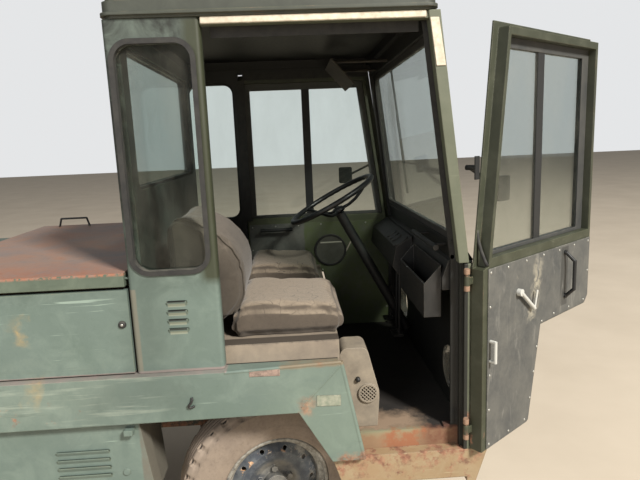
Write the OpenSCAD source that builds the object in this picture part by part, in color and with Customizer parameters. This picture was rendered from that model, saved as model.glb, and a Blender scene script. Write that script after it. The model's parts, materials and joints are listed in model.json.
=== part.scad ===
// Airport baggage tug with a forward two-seat cab, engine bay behind it and four wheels.
// X points forward, Y to the vehicle's left and Z up. Sizes are in millimetres.
// Inside the modules X is measured from the front wheel and Z from the ground,
// and from_hitch() moves each piece so that the origin is the rear coupling pin.

/* [Overall] */
// Width over the cab and the engine bay
body_w = 1290; // [1200:10:1400]
// Distance between the axles
wheelbase = 1475; // [1450:5:1520]
// Height of the gutter under the roof
gutter_z = 2069; // [2050:1:2100]
// Height of the roof above the gutter
roof_h = 59; // [55:1:62]
// Height of the seam between the side skirt and the cab
seam_z = 932; // [925:1:940]
// Height of the engine lid's top
lid_z = 1283; // [1275:1:1295]
// Height of the cab floor
floor_z = 640; // [630:1:650]
// Distance that the skirts stand out from the cab
ledge_w = 28; // [24:1:30]

/* [Cab] */
// Back face of the cab behind the front wheel
cab_back_x = -420; // [-430:1:-415]
// Rear edge of the door opening
post_x = -125; // [-130:1:-120]
// Hinge axis of the doors
hinge_x = 703; // [700:1:706]
// Front face of the cab
nose_x = 745; // [740:1:748]
// Thickness of the cab walls
wall_t = 40; // [36:1:42]
// Height of the belt line at the foot of the windscreen posts
belt_z = 1258; // [1250:1:1266]

/* [Doors] */
// Thickness of a door
door_t = 45; // [42:1:46]
// Angle at which the right door stands open
door_open = 218; // [200:1:220]
// Radius of the hinge pins
hinge_pin_r = 5; // [4:0.5:6]
// Radius of the engine lid's pivot pins
lid_pin_r = 4; // [3:0.5:5]
// Width of the rubber round a door window
door_rubber = 32; // [28:1:36]

/* [Wheels] */
// Outer radius of the tyres
tyre_r = 360; // [350:1:364]
// Width of the tyres
tyre_w = 172; // [165:1:176]
// Radius of the rim flange
rim_r = 209; // [205:1:212]
// Distance of the wheels' centre planes from the middle
wheel_y = 416; // [412:1:420]
// Distance of the kingpins from the middle
kingpin_y = 306; // [304:1:308]
// Angle by which the front wheels are turned to the left
steer_rest = 14; // [10:1:18]
// Radius of the wheel spindles
spindle_r = 22; // [20:1:26]
// Radius of the kingpins
kingpin_r = 15; // [13:1:17]

/* [Steering wheel] */
// Diameter of the steering wheel over its rim
steer_d = 470; // [440:5:490]
// Angle of the steering column from the vertical
column_tilt = 28; // [25:1:31]

/* [Couplings] */
// Radius of the coupling pins
tow_pin_r = 15; // [14:0.5:16]
// Height of the coupling pins above the ground
hitch_z = 420; // [400:5:440]

/* [Clearances] */
// Gap between a piece and its seat
seat_gap = 0.3; // [0.2:0.1:0.5]
// Radial clearance of pins, spindles and sleeves
run_gap = 0.08; // [0.05:0.01:0.1]

/* [Hidden] */
$fn = 48;
half_w = body_w / 2;
in_y = half_w - wall_t;
axle_x = -25;
rear_axle_x = axle_x - wheelbase;
tail_x = rear_axle_x - 460;
hitch_x = tail_x - 80;
skirt_z = 759;
sill_z = 648;
apron_z = 445;
door_foot_z = 580;
bumper_top_z = door_foot_z - 6;
bumper_x = 785;
lid_back_x = -1235;
lid_front_x = cab_back_x - 12;
lid_lip = 46;
roof_z = gutter_z + roof_h;
roof_over = 15;
hinge_y = half_w + 15;
door_y = half_w - 35;
skin_y = door_y + door_t - 5;
door_out_y = door_y + door_t + 1;
skirt_y = half_w + ledge_w;
seat_base_y = half_w - 45;
post_w = 37;
screen_lean = 0.1187;
post_top_x = 582;
post_foot_x = post_top_x + (gutter_z - belt_z) * screen_lean;
rail_y = 145;
rail_w = 50;
rail_z = 480;
rail_h = 120;
seat_z = 998;
base_front_x = 270;
seat_y = 325;
steer_x = 327;
steer_z = 1397;
steer_y = 280;
wheel_offset = wheel_y - kingpin_y;
arm_x = -120;
tie_z = -72;
panel_back_x = nose_x - 32;
lid_pin_y = half_w - 17;
lid_pin_z = lid_z - 21;
side_hinge_x = -1219;
side_hinge_y = half_w + 5;
upper_hinge_z = 1202;
lower_hinge_z = 660;
quarter_foot_z = belt_z + 17;
quarter_top_z = gutter_z - 64;
rear_foot_z = belt_z + 282;
rear_top_z = gutter_z - 59;
door_top_z = gutter_z - 47;
skin_top_z = gutter_z - 27;
pane_foot_z = belt_z + 14;
pane_top_z = gutter_z - 73;
header_z = gutter_z - 59;
cowl_z = belt_z + 72;
dash_z = belt_z + 4;
dash_foot_z = 1080;
visor_z = gutter_z - 144;
visor_arm_z = gutter_z - 47;
wiper_z = gutter_z - 34;
glass_top_x = post_top_x + 22;
glass_foot_x = post_foot_x - 5;
screen_h = header_z - cowl_z;
heater_y = seat_base_y - 40;

// Moves a piece from the front wheel's foot to the coupling pin's frame
module from_hitch() translate([-hitch_x, 0, -hitch_z]) children();

// The piece and its mirror image on the other side
module both_sides() {
    children();
    mirror([0, 1, 0]) children();
}

// Plate in the XZ plane between two distances from the middle, on the right side
module side_plate(inner, outer)
    translate([0, -inner, 0])
        rotate([90, 0, 0])
            linear_extrude(outer - inner) children();

// Rectangle with round corners
module round_rect(x0, x1, z0, z1, r)
    union() {
        translate([x0 + r, z0]) square([x1 - x0 - 2 * r, z1 - z0]);
        translate([x0, z0 + r]) square([x1 - x0, z1 - z0 - 2 * r]);
        for (x = [x0 + r, x1 - r], z = [z0 + r, z1 - r])
            translate([x, z]) circle(r);
    }

// Upright plate across the vehicle between two X values
module cross_plate(x0, x1)
    translate([x0, 0, 0])
        rotate([90, 0, 90])
            linear_extrude(x1 - x0) children();

// Openings of the quarter windows and the rear window, grown or shrunk all round
module quarter_hole(grow)
    round_rect(cab_back_x + 18 - grow, post_x - 25 + grow, quarter_foot_z - grow, quarter_top_z + grow, 60 + grow);

module rear_hole(grow) round_rect(70 - in_y - grow, in_y - 70 + grow, rear_foot_z - grow, rear_top_z + grow, 40 + grow);

// Bar across the vehicle with an outline in the XZ plane
module across(y0, y1, outline)
    translate([0, y1, 0]) rotate([90, 0, 0]) linear_extrude(y1 - y0) polygon(outline);

module box(x0, x1, y0, y1, z0, z1)
    translate([x0, y0, z0]) cube([x1 - x0, y1 - y0, z1 - z0]);

// Rod along Y
module rod_y(x, y0, y1, z, r)
    translate([x, y0, z]) rotate([-90, 0, 0]) cylinder(r = r, h = y1 - y0);

// Rod between two points
module rod(a, b, r) {
    d = b - a;
    length = norm(d);
    translate(a)
        rotate([0, acos(d[2] / length), atan2(d[1], d[0])])
            cylinder(r = r, h = length);
}

// Chassis

module chassis_frame() color("darkolivegreen") from_hitch() {
    difference() {
        union() {
            for (side = [-1, 1])
                box(tail_x + seat_gap, panel_back_x - seat_gap, side * rail_y - rail_w / 2,
                    side * rail_y + rail_w / 2, rail_z, rail_z + rail_h);
            for (x = [tail_x + seat_gap, -1440, -560, 400, 650])
                box(x, x + 50, -rail_y, rail_y, rail_z + 20, rail_z + rail_h - 20);
            box(tail_x + seat_gap, tail_x + 50, -in_y + 1, in_y - 1, rail_z + 40, rail_z + rail_h - 3);
            for (x = [400, 650])
                box(x, x + 50, -half_w + 8 + seat_gap, half_w - 8 - seat_gap, rail_z + 20, bumper_top_z - 8 - seat_gap);
        }
        for (side = [-1, 1])
            box(tail_x - 1, 721, side * rail_y - 18, side * rail_y + 18, rail_z + 8, rail_z + rail_h - 8);
    }
}

module front_axle() color("dimgray") from_hitch() {
    difference() {
        union() {
            box(axle_x - 30, axle_x + 30, -kingpin_y + 30, kingpin_y - 30, tyre_r - 35, tyre_r + 35);
            for (side = [-1, 1])
                translate([axle_x, side * kingpin_y, tyre_r - 42 + seat_gap])
                    cylinder(r = 32, h = 84 - 2 * seat_gap);
        }
        for (side = [-1, 1])
            translate([axle_x, side * kingpin_y, tyre_r - 60]) cylinder(r = kingpin_r + run_gap, h = 120);
    }
}

// Brake drum and spindle of a wheel, with the wheel's centre plane at Z 0 and outside at +Z
module drum_and_spindle() {
    translate([0, 0, -52]) cylinder(r = 130, h = 58);
    cylinder(r = spindle_r, h = 44);
}

module rear_axle() color("dimgray") from_hitch() {
    rod_y(rear_axle_x, 40 - wheel_y, wheel_y - 40, tyre_r, 38);
    translate([rear_axle_x, 0, tyre_r]) sphere(105);
    translate([rear_axle_x, 0, tyre_r]) rotate([0, 90, 0]) cylinder(r = 45, h = 170);
    for (side = [-1, 1])
        translate([rear_axle_x, side * wheel_y, tyre_r]) rotate([side > 0 ? -90 : 90, 0, 0]) drum_and_spindle();
}

// Each spring pack: X of the axle, half length of the leaves and height of its seat over the axle's centre
springs = [[axle_x, 300, 35], [rear_axle_x, 340, 38]];

module leaf_springs() color("saddlebrown") from_hitch()
    for (spring = springs, side = [-1, 1]) {
        x = spring[0];
        long = spring[1];
        foot = tyre_r + spring[2] + seat_gap;
        for (leaf = [0:3])
            box(x - long + 70 * leaf, x + long - 70 * leaf, side * rail_y - 22, side * rail_y + 22,
                foot + 27 - 9 * leaf, foot + 35 - 9 * leaf);
        box(x - 40, x + 40, side * rail_y - 24, side * rail_y + 24, foot, foot + 37);
        for (end = [-1, 1])
            box(x + end * (long - 20) - 15, x + end * (long - 20) + 15, side * rail_y - 22,
                side * rail_y + 22, foot + 27, rail_z - seat_gap);
    }

// Places a front wheel's pieces at their resting steering angle
module steered(side)
    translate([axle_x, side * kingpin_y, tyre_r])
        rotate([0, 0, steer_rest])
            children();

module knuckle(side) steered(side) {
    for (z = [-62, 42])
        translate([0, 0, z]) cylinder(r = 28, h = 20);
    translate([0, 0, -60]) cylinder(r = kingpin_r, h = 120);
    translate([-28, side > 0 ? 36 : 50 - wheel_offset, -62]) cube([56, wheel_offset - 86, 124]);
    for (z = [-62, 42])
        translate([-28, side > 0 ? 0 : -40, z]) cube([56, 40, 20]);
    box(arm_x, 0, -12, 12, -62, -48);
    translate([arm_x, 0, -62]) cylinder(r = 18, h = 14);
    translate([arm_x, 0, tie_z - 14]) cylinder(r = 8, h = 25);
    translate([0, side * wheel_offset, 0]) rotate([side > 0 ? -90 : 90, 0, 0]) drum_and_spindle();
}

module knuckle_left() color("dimgray") from_hitch() knuckle(1);
module knuckle_right() color("dimgray") from_hitch() knuckle(-1);

// Rod between the two steering arms
module tie_rod() color("dimgray") from_hitch()
    translate([axle_x + arm_x * cos(steer_rest), arm_x * sin(steer_rest), tyre_r + tie_z])
        difference() {
            union() {
                for (side = [-1, 1])
                    translate([0, side * kingpin_y, -12]) cylinder(r = 17, h = 22 - seat_gap);
                rod_y(0, -kingpin_y + 13, kingpin_y - 13, -1, 8);
            }
            for (side = [-1, 1])
                translate([0, side * kingpin_y, -20]) cylinder(r = 8 + run_gap, h = 40);
        }

// Wheels

// Outline of the tyre: distance from the axle and from the centre plane as a share of half its width
tyre_wall = [[rim_r - 8, 60], [rim_r - 7.6, 65.6], [rim_r + 0.6, 69.4], [rim_r + 1, 74], [rim_r + 6, 80],
             [rim_r + 45, 86], [tyre_r - 45, 84], [tyre_r - 14, 72], [tyre_r, 55]];
tyre_hollow = [[tyre_r - 22, 50], [tyre_r - 40, 70], [rim_r + 40, 74], [rim_r + 8, 66], [rim_r - 2, 58]];
tyre_section = concat([for (p = tyre_wall) [p[0], p[1]]],
                      [for (i = [len(tyre_wall) - 1:-1:0]) [tyre_wall[i][0], -tyre_wall[i][1]]],
                      [for (i = [len(tyre_hollow) - 1:-1:0]) [tyre_hollow[i][0], -tyre_hollow[i][1]]],
                      [for (p = tyre_hollow) [p[0], p[1]]]);

module tyre() rotate([90, 0, 0])
    rotate_extrude() polygon([for (p = tyre_section) [p[0], p[1] * tyre_w / 172]]);

// Rim with its disc: the outer side is +Z before turning
module rim() {
    difference() {
        union() {
            rotate_extrude() polygon([
                [rim_r, 70], [rim_r - 6, 74], [rim_r - 14, 70], [rim_r - 16, 52], [rim_r - 32, 42],
                [rim_r - 32, -42], [rim_r - 16, -52], [rim_r - 14, -70], [rim_r - 6, -74],
                [rim_r, -70], [rim_r - 8, -66], [rim_r - 10, -48], [rim_r - 26, -38],
                [rim_r - 26, 38], [rim_r - 10, 48], [rim_r - 8, 66]]);
            rotate_extrude() polygon([[0, 22], [70, 22], [110, 40], [135, 40], [rim_r - 30, 18],
                [rim_r - 30, 8], [132, 30], [112, 30], [72, 12], [0, 12]]);
            translate([0, 0, 12]) cylinder(r = 46, h = 46);
            for (nut = [0:4])
                rotate([0, 0, 72 * nut + 18]) translate([62, 0, 20]) cylinder(r = 12, h = 20, $fn = 6);
        }
        for (slot = [0:9])
            rotate([0, 0, 36 * slot]) translate([148, 0, 0]) cylinder(r = 9, h = 60);
        translate([0, 0, -1]) cylinder(r = spindle_r + run_gap, h = 46);
    }
}

module at_wheel(x, side) translate([x, side * wheel_y, tyre_r]) children();

// A front wheel's centre stands beside its kingpin
module at_front_wheel(side) steered(side) translate([0, side * wheel_offset, 0]) children();

module side_rim(side) rotate([side > 0 ? -90 : 90, 0, 0]) rim();

module tyre_front_left() color("dimgray") from_hitch() at_front_wheel(1) tyre();
module tyre_front_right() color("dimgray") from_hitch() at_front_wheel(-1) tyre();
module tyre_rear_left() color("dimgray") from_hitch() at_wheel(rear_axle_x, 1) tyre();
module tyre_rear_right() color("dimgray") from_hitch() at_wheel(rear_axle_x, -1) tyre();
module rim_front_left() color("darkslategray") from_hitch() at_front_wheel(1) side_rim(1);
module rim_front_right() color("darkslategray") from_hitch() at_front_wheel(-1) side_rim(-1);
module rim_rear_left() color("darkslategray") from_hitch() at_wheel(rear_axle_x, 1) side_rim(1);
module rim_rear_right() color("darkslategray") from_hitch() at_wheel(rear_axle_x, -1) side_rim(-1);

module engine_block() color("dimgray") from_hitch() {
    box(-1130, -560, -210, 210, rail_z + rail_h + seat_gap, 1130);
    box(-1360, -1130, -110, 110, 500, 700);
}

// Cab

module cab_floor() color("tan") from_hitch() {
    box(300 + seat_gap, panel_back_x - seat_gap, -in_y + 5, in_y - 5, floor_z - 20, floor_z);
    for (side = [-1, 1])
        box(330, panel_back_x - seat_gap, side * rail_y - 20, side * rail_y + 20, rail_z + rail_h + seat_gap, floor_z - 19);
    both_sides() {
        box(330, 640, -in_y + 5, -in_y + 13, bumper_top_z + seat_gap, floor_z);
        box(640, 700, -in_y + 5, -in_y + 35, bumper_top_z + seat_gap, sill_z);
    }
}

module seat_base() color("tan") from_hitch() {
    difference() {
        box(cab_back_x + wall_t - 2 + seat_gap, base_front_x, -seat_base_y, seat_base_y, 745, seat_z);
        box(cab_back_x + wall_t + 12, base_front_x - 16, 14 - seat_base_y, seat_base_y - 14, 744, seat_z - 16);
    }
    across(-seat_base_y, seat_base_y, [[base_front_x - 16, 746], [base_front_x - 16, 702], [284, floor_z - 14],
           [300, floor_z - 14], [300, floor_z + 4], [base_front_x, 706], [base_front_x, 746]]);
}

module cab_rear_wall() color("darkolivegreen") from_hitch()
    difference() {
        box(cab_back_x, cab_back_x + wall_t - 2, -in_y + seat_gap, in_y - seat_gap, seam_z - 40, gutter_z - seat_gap);
        cross_plate(cab_back_x - 1, cab_back_x + wall_t + 1) rear_hole(0);
    }

// Louvers of the quarter panel
louver_tops = [1181, 1150, 1119, 1088];

// Pressed louver on the right side: its slit is on top, and its lip stands out below it
module louver(x0, x1, z, y, out)
    translate([x0, 0, 0]) rotate([90, 0, 90]) linear_extrude(x1 - x0)
        polygon([[-y + 2, z - 18], [-y, z - 18], [-y - out, z - 5], [-y - out, z - 2],
                 [-y - out + 2, z - 2], [-y - out + 2, z - 5], [-y + 2, z - 14]]);

module quarter_panel() {
    difference() {
        intersection() {
            side_plate(in_y, half_w) translate([cab_back_x, seam_z])
                square([post_x - cab_back_x, gutter_z - seat_gap - seam_z]);
            translate([0, 0, seam_z - 1]) linear_extrude(gutter_z - seam_z + 2) {
                translate([cab_back_x, -half_w + 14]) square([post_x - cab_back_x, wall_t]);
                translate([cab_back_x + 14, -half_w]) square([post_x - cab_back_x - 28, wall_t]);
                translate([cab_back_x + 14, -half_w + 14]) circle(14);
                translate([post_x - 14, -half_w + 14]) circle(14);
            }
        }
        side_plate(in_y - 1, half_w + 1) quarter_hole(0);
        for (z = louver_tops)
            box(-300, -235, -half_w - 1, -half_w + 6, z - 12, z - 2);
    }
    for (z = louver_tops)
        louver(-300, -235, z, half_w, 6);
}

module quarter_panels() color("darkolivegreen") from_hitch() {
    both_sides() quarter_panel();
    rod([cab_back_x + 5, -lid_pin_y, lid_pin_z], [lid_front_x - 14, -lid_pin_y, lid_pin_z], lid_pin_r);
}

// Steps of the roof's edge: how far each is set in, and its foot and top over the gutter
roof_tiers = [[10, 0, 9], [0, 8, 18], [6, 17, roof_h - 8], [14, roof_h - 9, roof_h], [70, roof_h - 1, roof_h + 22]];

module roof() color("darkolivegreen") from_hitch()
    difference() {
        union()
            for (tier = roof_tiers)
                translate([0, 0, gutter_z + tier[1]])
                    linear_extrude(tier[2] - tier[1])
                        round_rect(cab_back_x - 5 + tier[0], 616 - tier[0], -half_w - roof_over + tier[0],
                                   half_w + roof_over - tier[0], 40);
        box(cab_back_x + wall_t, 560, -in_y, in_y, gutter_z - 1, roof_z - 20);
    }

// Outline of a windscreen post in the XZ plane
module post_outline()
    polygon([[post_top_x, gutter_z - seat_gap], [post_top_x + post_w, gutter_z - seat_gap],
             [post_foot_x + post_w, belt_z], [post_foot_x + 3, belt_z]]);

// The half of a door hinge that stays on the body, on the right side
module hinge_post(z) {
    for (end = [-38, 20])
        translate([hinge_x, -hinge_y, z + end]) cylinder(r = 10, h = 18);
    for (end = [-38, 20])
        box(699, hinge_x + 9, -hinge_y, -half_w + 5, z + end, z + end + 18);
    translate([hinge_x, -hinge_y, z - 37]) cylinder(r = hinge_pin_r, h = 74);
}

module windscreen_frame() color("olivedrab") from_hitch() {
    both_sides() {
        side_plate(in_y, half_w) post_outline();
        box(690, 722, -in_y - 18, -in_y, bumper_top_z + seat_gap, belt_z + 4);
        box(700, 722, -half_w, -in_y - 17, bumper_top_z + seat_gap, belt_z - 4);
        box(post_x + seat_gap, post_top_x + 5, 5 - half_w, -in_y, skin_top_z + 3, gutter_z - seat_gap);
        box(664, 691, -in_y + 2, -in_y + 12, sill_z + seat_gap, belt_z + 20);
        box(684, 691, -in_y - 1, -in_y + 12, sill_z + seat_gap, belt_z + 20);
        hinge_post(upper_hinge_z);
        hinge_post(lower_hinge_z);
    }
    box(post_top_x, post_top_x + 34, -in_y - 1, in_y + 1, header_z, gutter_z - seat_gap);
    translate([0, in_y + 1, 0]) rotate([90, 0, 0]) linear_extrude(2 * in_y + 2)
        polygon([[676, belt_z], [nose_x - 2, belt_z], [glass_foot_x + 21, cowl_z], [glass_foot_x - 11, cowl_z],
                 [glass_foot_x - 11, cowl_z - 12], [676, cowl_z - 16]]);
}

module front_panel() color("darkolivegreen") from_hitch()
    difference() {
        union() {
            box(panel_back_x, nose_x - 2, -half_w + 60, half_w - 60, bumper_top_z + seat_gap, belt_z - seat_gap);
            both_sides() translate([nose_x - 62, -half_w + 60, bumper_top_z + seat_gap])
                intersection() {
                    cylinder(r = 60, h = belt_z - bumper_top_z - 2 * seat_gap);
                    translate([722 - nose_x + 62 + seat_gap, -60, 0]) cube([30, 62, 800]);
                }
        }
        for (side = [-1, 1])
            translate([nose_x - 60, side * 440, 800]) rotate([0, 90, 0]) cylinder(r = 84 + seat_gap, h = 80);
    }

// Section of the front bumper, shrunk by the thickness of its plate and cut at both ends
module bumper_bar(t, y)
    translate([0, y, 0]) rotate([90, 0, 0]) linear_extrude(2 * y)
        polygon([[panel_back_x + t, apron_z + t], [bumper_x - 40 - 0.8 * t, apron_z + t],
                 [bumper_x - t, bumper_top_z - 8 - t], [bumper_x - 4 - t, bumper_top_z - t],
                 [panel_back_x + t, bumper_top_z - t]]);

module front_bumper() color("darkolivegreen") from_hitch() {
    difference() {
        union() {
            bumper_bar(0, half_w);
            box(bumper_x - 52, bumper_x + 55, -60, 60, 470, 500);
            box(bumper_x - 14, bumper_x + 55, -60, 60, 540, 556);
        }
        difference() {
            bumper_bar(8, half_w - 8);
            box(bumper_x - 53, bumper_x + 55, -61, 61, 440, 600);
        }
        translate([bumper_x + 30, 0, 440]) cylinder(r = tow_pin_r + 1, h = 140);
    }
    both_sides() {
        side_plate(half_w - 8, half_w)
            polygon([[228, bumper_top_z], [262, apron_z + 20], [panel_back_x + 1, apron_z + 20],
                     [panel_back_x + 1, bumper_top_z]]);
        box(300, panel_back_x + 1, -half_w, -in_y + 35, bumper_top_z - 8, bumper_top_z);
    }
}

// Side skirt: outline in the XZ plane, with the slanted front of the wheel arch
skirt_foot_z = bumper_top_z + 3;
skirt_outline = [[tail_x, seam_z - seat_gap], [post_x, seam_z - seat_gap], [260, 946], [270, 944], [340, skirt_foot_z],
                 [228, skirt_foot_z], [118, 768], [tail_x, 762]];

module side_skirts() color("darkolivegreen") from_hitch()
    both_sides() {
        side_plate(skirt_y - 4, skirt_y) polygon(skirt_outline);
        box(tail_x, post_x - 6, 1 - skirt_y, -half_w + 34, seam_z - 4, seam_z - seat_gap);
        box(post_x - 7, 262, 1 - skirt_y, -seat_base_y - seat_gap, seam_z - 4, seam_z - seat_gap);
        rod([268, 6.5 - skirt_y, 943], [338, 6.5 - skirt_y, skirt_foot_z + 1.5], 8);
        rod([post_x, 4.5 - skirt_y, seam_z - 4], [268, 4.5 - skirt_y, 942], 6);
        rod([264, 2 - skirt_y, 930], [128, 2 - skirt_y, 788], 4);
        side_plate(half_w - 9 - seat_gap, skirt_y - 3) polygon([[232, skirt_foot_z], [336, skirt_foot_z],
            [334, skirt_foot_z + 4], [230, skirt_foot_z + 4]]);
    }

// Lockers under the skirts
module side_boxes() color("darkolivegreen") from_hitch()
    both_sides() {
        difference() {
            union() {
                side_plate(400, half_w - 5) polygon([[-1080, 430], [-414, 430], [-434, 750], [-1080, 750]]);
                side_plate(560, half_w - 5) polygon([[-430, 430], [-389, 430], [-433, 750], [-450, 750]]);
            }
            side_plate(408, half_w - 13) polygon([[-1072, 438], [-424, 438], [-442, 742], [-1072, 742]]);
            for (z = [0:3])
                box(-722, -544, -half_w - 1, -half_w + 14, 652 - 30 * z, 661 - 30 * z);
        }
        for (z = [0:3])
            louver(-722, -544, 665 - 30 * z, half_w - 5, 7);
        rod_y(-492, 1 - half_w, -half_w + 6, 572, 12);
        for (x = [-1050, -480])
            box(x, x + 30, -skirt_y + 4 + seat_gap, -half_w + 40, 720, 740);
        for (x = [-1000, -520])
            box(x, x + 30, -401, -rail_y - rail_w / 2 - seat_gap, rail_z + 30, rail_z + 70);
    }

// Engine bay

// Side door of the engine bay, on the right side, with the sleeves of its hinges
module engine_door() {
    difference() {
        box(-1213, -426.5, -half_w, -half_w + 22, seam_z + 5, 1226);
        box(-1198, -441, -half_w + 4, -half_w + 23, seam_z + 20, 1211);
    }
    for (z = [985, 1165])
        difference() {
            union() {
                translate([side_hinge_x, -side_hinge_y, z]) cylinder(r = 6, h = 30);
                box(side_hinge_x, -1200, -side_hinge_y - 2, -half_w + 1, z, z + 30);
            }
            translate([side_hinge_x, -side_hinge_y, z - 1]) cylinder(r = 3 + run_gap, h = 32);
        }
}

module engine_door_left() color("darkolivegreen") from_hitch() mirror([0, 1, 0]) engine_door();
module engine_door_right() color("darkolivegreen") from_hitch() engine_door();

module engine_lid() color("rosybrown") from_hitch() {
    difference() {
        box(lid_back_x, lid_front_x, -half_w, half_w, lid_z - lid_lip, lid_z);
        box(lid_back_x + 4, lid_front_x - 4, -half_w + 4, half_w - 4, lid_z - lid_lip - 1, lid_z - 4);
        translate([lid_back_x - 1, -lid_pin_y, lid_pin_z])
            rotate([0, 90, 0]) cylinder(r = lid_pin_r + run_gap, h = lid_front_x - lid_back_x + 2);
    }
    for (x = [-1120, -960])
        rod([x, 565, lid_z - 2], [x + (x < -1000 ? 14 : -14), 565, lid_z + 48], 5);
    rod([-1106, 565, lid_z + 46], [-974, 565, lid_z + 46], 5);
}

module rear_body() color("darkolivegreen") from_hitch() {
    box(tail_x, -1218, -half_w + 4, half_w - 4, seam_z, seam_z + 16);
    box(-1226, -1218, -half_w + 9, half_w - 9, seam_z + 16, 1215);
    box(-1226, -1218, -half_w + 55, half_w - 55, 1215, lid_z - 4 - seat_gap);
    box(-1226, -1218, -lid_pin_y, -half_w + 56, lid_pin_z - 8, lid_pin_z + 8);
    rod([-1218, -lid_pin_y, lid_pin_z], [-1226, -lid_pin_y, lid_pin_z], 8);
    rod([-1218, -lid_pin_y, lid_pin_z], [lid_back_x - 8, -lid_pin_y, lid_pin_z], lid_pin_r);
    both_sides()
        for (z = [985, 1165]) {
            translate([side_hinge_x, -side_hinge_y, z - 16]) cylinder(r = 6, h = 16 - seat_gap);
            translate([side_hinge_x, -side_hinge_y, z - 16]) cylinder(r = 3, h = 44);
            box(-1226, side_hinge_x, -side_hinge_y - 4, -half_w + 10, z - 16, z - seat_gap);
        }
    difference() {
        box(-1560, -1245, -298, 298, seam_z + 15, lid_z - 4);
        box(-1550, -1255, -288, 288, seam_z + 14, lid_z - 16);
    }
    box(tail_x - 4, tail_x, -half_w, half_w, 560, seam_z + 16);
    both_sides() box(tail_x - 4, tail_x - seat_gap, -skirt_y, 1 - half_w, 762, seam_z - seat_gap);
}

module rear_coupling() color("dimgray") from_hitch() {
    difference() {
        union() {
            box(tail_x - 34, tail_x - 4 - seat_gap, -half_w + 100, half_w - 100, 380, 620);
            for (z = [hitch_z - 46, hitch_z + 26])
                box(hitch_x - 42, tail_x - 20, -60, 60, z, z + 20);
        }
        translate([hitch_x, 0, 300]) cylinder(r = tow_pin_r + 1, h = 300);
    }
}

// Glass and seals

// Slanted slab in the windscreen's opening, and a round-cornered prism across it
module screen_slab(x0, x1)
    translate([0, in_y - seat_gap, 0]) rotate([90, 0, 0]) linear_extrude(2 * in_y - 2 * seat_gap)
        polygon([[glass_foot_x + x0, cowl_z + seat_gap], [glass_foot_x + x1, cowl_z + seat_gap],
                 [glass_top_x + x1, header_z - seat_gap], [glass_top_x + x0, header_z - seat_gap]]);

module screen_hole(grow, r)
    cross_plate(500, 800) round_rect(-in_y - grow, in_y + grow, cowl_z - grow, header_z + grow, r);

module cab_glass() color("lightblue", 0.4) from_hitch() {
    both_sides() side_plate(half_w - 23, half_w - 18) quarter_hole(-10 - seat_gap);
    cross_plate(cab_back_x + 16, cab_back_x + 21) rear_hole(-10 - seat_gap);
    intersection() {
        screen_slab(0, 5);
        screen_hole(-24 - seat_gap, 40);
    }
}

module window_seals() color("black") from_hitch() {
    both_sides()
        difference() {
            side_plate(half_w - 30, half_w + 6) quarter_hole(6);
            side_plate(half_w - 31, half_w + 7) quarter_hole(-10);
            side_plate(in_y - 1, half_w + seat_gap) difference() {
                quarter_hole(20);
                quarter_hole(-seat_gap);
            }
        }
    difference() {
        cross_plate(cab_back_x - 6, cab_back_x + 30) rear_hole(-seat_gap);
        cross_plate(cab_back_x - 7, cab_back_x + 31) rear_hole(-10);
    }
    difference() {
        screen_slab(-8, 10);
        screen_hole(-24, 40);
    }
}

// Cab fittings

module dashboard() color("black") from_hitch() {
    across(20 - in_y, in_y - 20, [[676 - seat_gap, dash_z], [676 - seat_gap, 1150], [640, 1150], [640, 1195], [662, dash_z - 8]]);
    difference() {
        across(-60, in_y - 20, [[650, dash_z - 10], [578, 1206], [562, 1120], [590, dash_foot_z], [650, dash_foot_z]]);
        across(-52, in_y - 28, [[651, 1222], [588, 1190], [574, 1122], [594, dash_foot_z + 8], [651, dash_foot_z + 8]]);
    }
    difference() {
        across(-562, -140, [[580, 1046], [642, 1046], [642, 1236], [580, 1168]]);
        box(584, 639, -558, -144, 1050, 1300);
    }
    slope = (dash_z - 1216) / 72;
    for (dial = [[-20, 38], [70, 26], [130, 26], [190, 26]])
        translate([608, dial[0], 1203 + 30 * slope]) rotate([0, -atan(slope), 0]) cylinder(r = dial[1], h = 7);
}

module steer_frame() translate([steer_x, steer_y, steer_z]) rotate([0, -column_tilt, 0]) children();

module steering_wheel() color("black") from_hitch() steer_frame() {
    rotate_extrude() translate([steer_d / 2 - 13, 0]) circle(13);
    difference() {
        translate([0, 0, -75]) cylinder(r = 32, h = 55);
        translate([0, 0, -76]) cylinder(r = 12 + run_gap, h = 46);
    }
    for (spoke = [90, 210, 330])
        rotate([0, 0, spoke]) rod([26, 0, -42], [steer_d / 2 - 13, 0, 0], 7);
}

module steering_column() color("black") from_hitch() steer_frame() {
    translate([0, 0, -776]) cylinder(r = 24, h = 776 - 80);
    translate([0, 0, -100]) cylinder(r = 12, h = 68);
}

module cab_controls() color("black") from_hitch() {
    for (y = [130, 200, 390]) {
        box(590, 640, y - 28, y + 28, 730, 740);
        rod([622, y, 735], [632, y, dash_foot_z - 0.3 - seat_gap], 7);
    }
    for (y = [-250, -500])
        rod([625, y, dash_z + 36], [676 - seat_gap, y, dash_z + 36], 6);
    rod_y(625, -560, -200, dash_z + 36, 10);
}

module seat(side) {
    across(side * seat_y - 225, side * seat_y + 225,
           [[-108, seat_z + seat_gap], [298, seat_z + seat_gap], [312, 1082], [296, 1092], [193, 1106],
            [60, 1112], [-37, 1108], [-108, 1064]]);
    across(side * seat_y - 220, side * seat_y + 220,
           [[-330, 1060], [-108.3, 1060], [-108.3, 1064.3], [-60, 1094.4], [-44, 1141], [-36, 1177], [-20, 1273],
            [-16, 1302], [-30, 1355], [-52, 1413], [-93, 1442], [-141, 1455], [-182, 1501], [-225, 1510],
            [-272, 1502], [-317, 1483]]);
}

module passenger_seat() color("gray") from_hitch() seat(-1);
module driver_seat() color("gray") from_hitch() seat(1);

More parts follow.
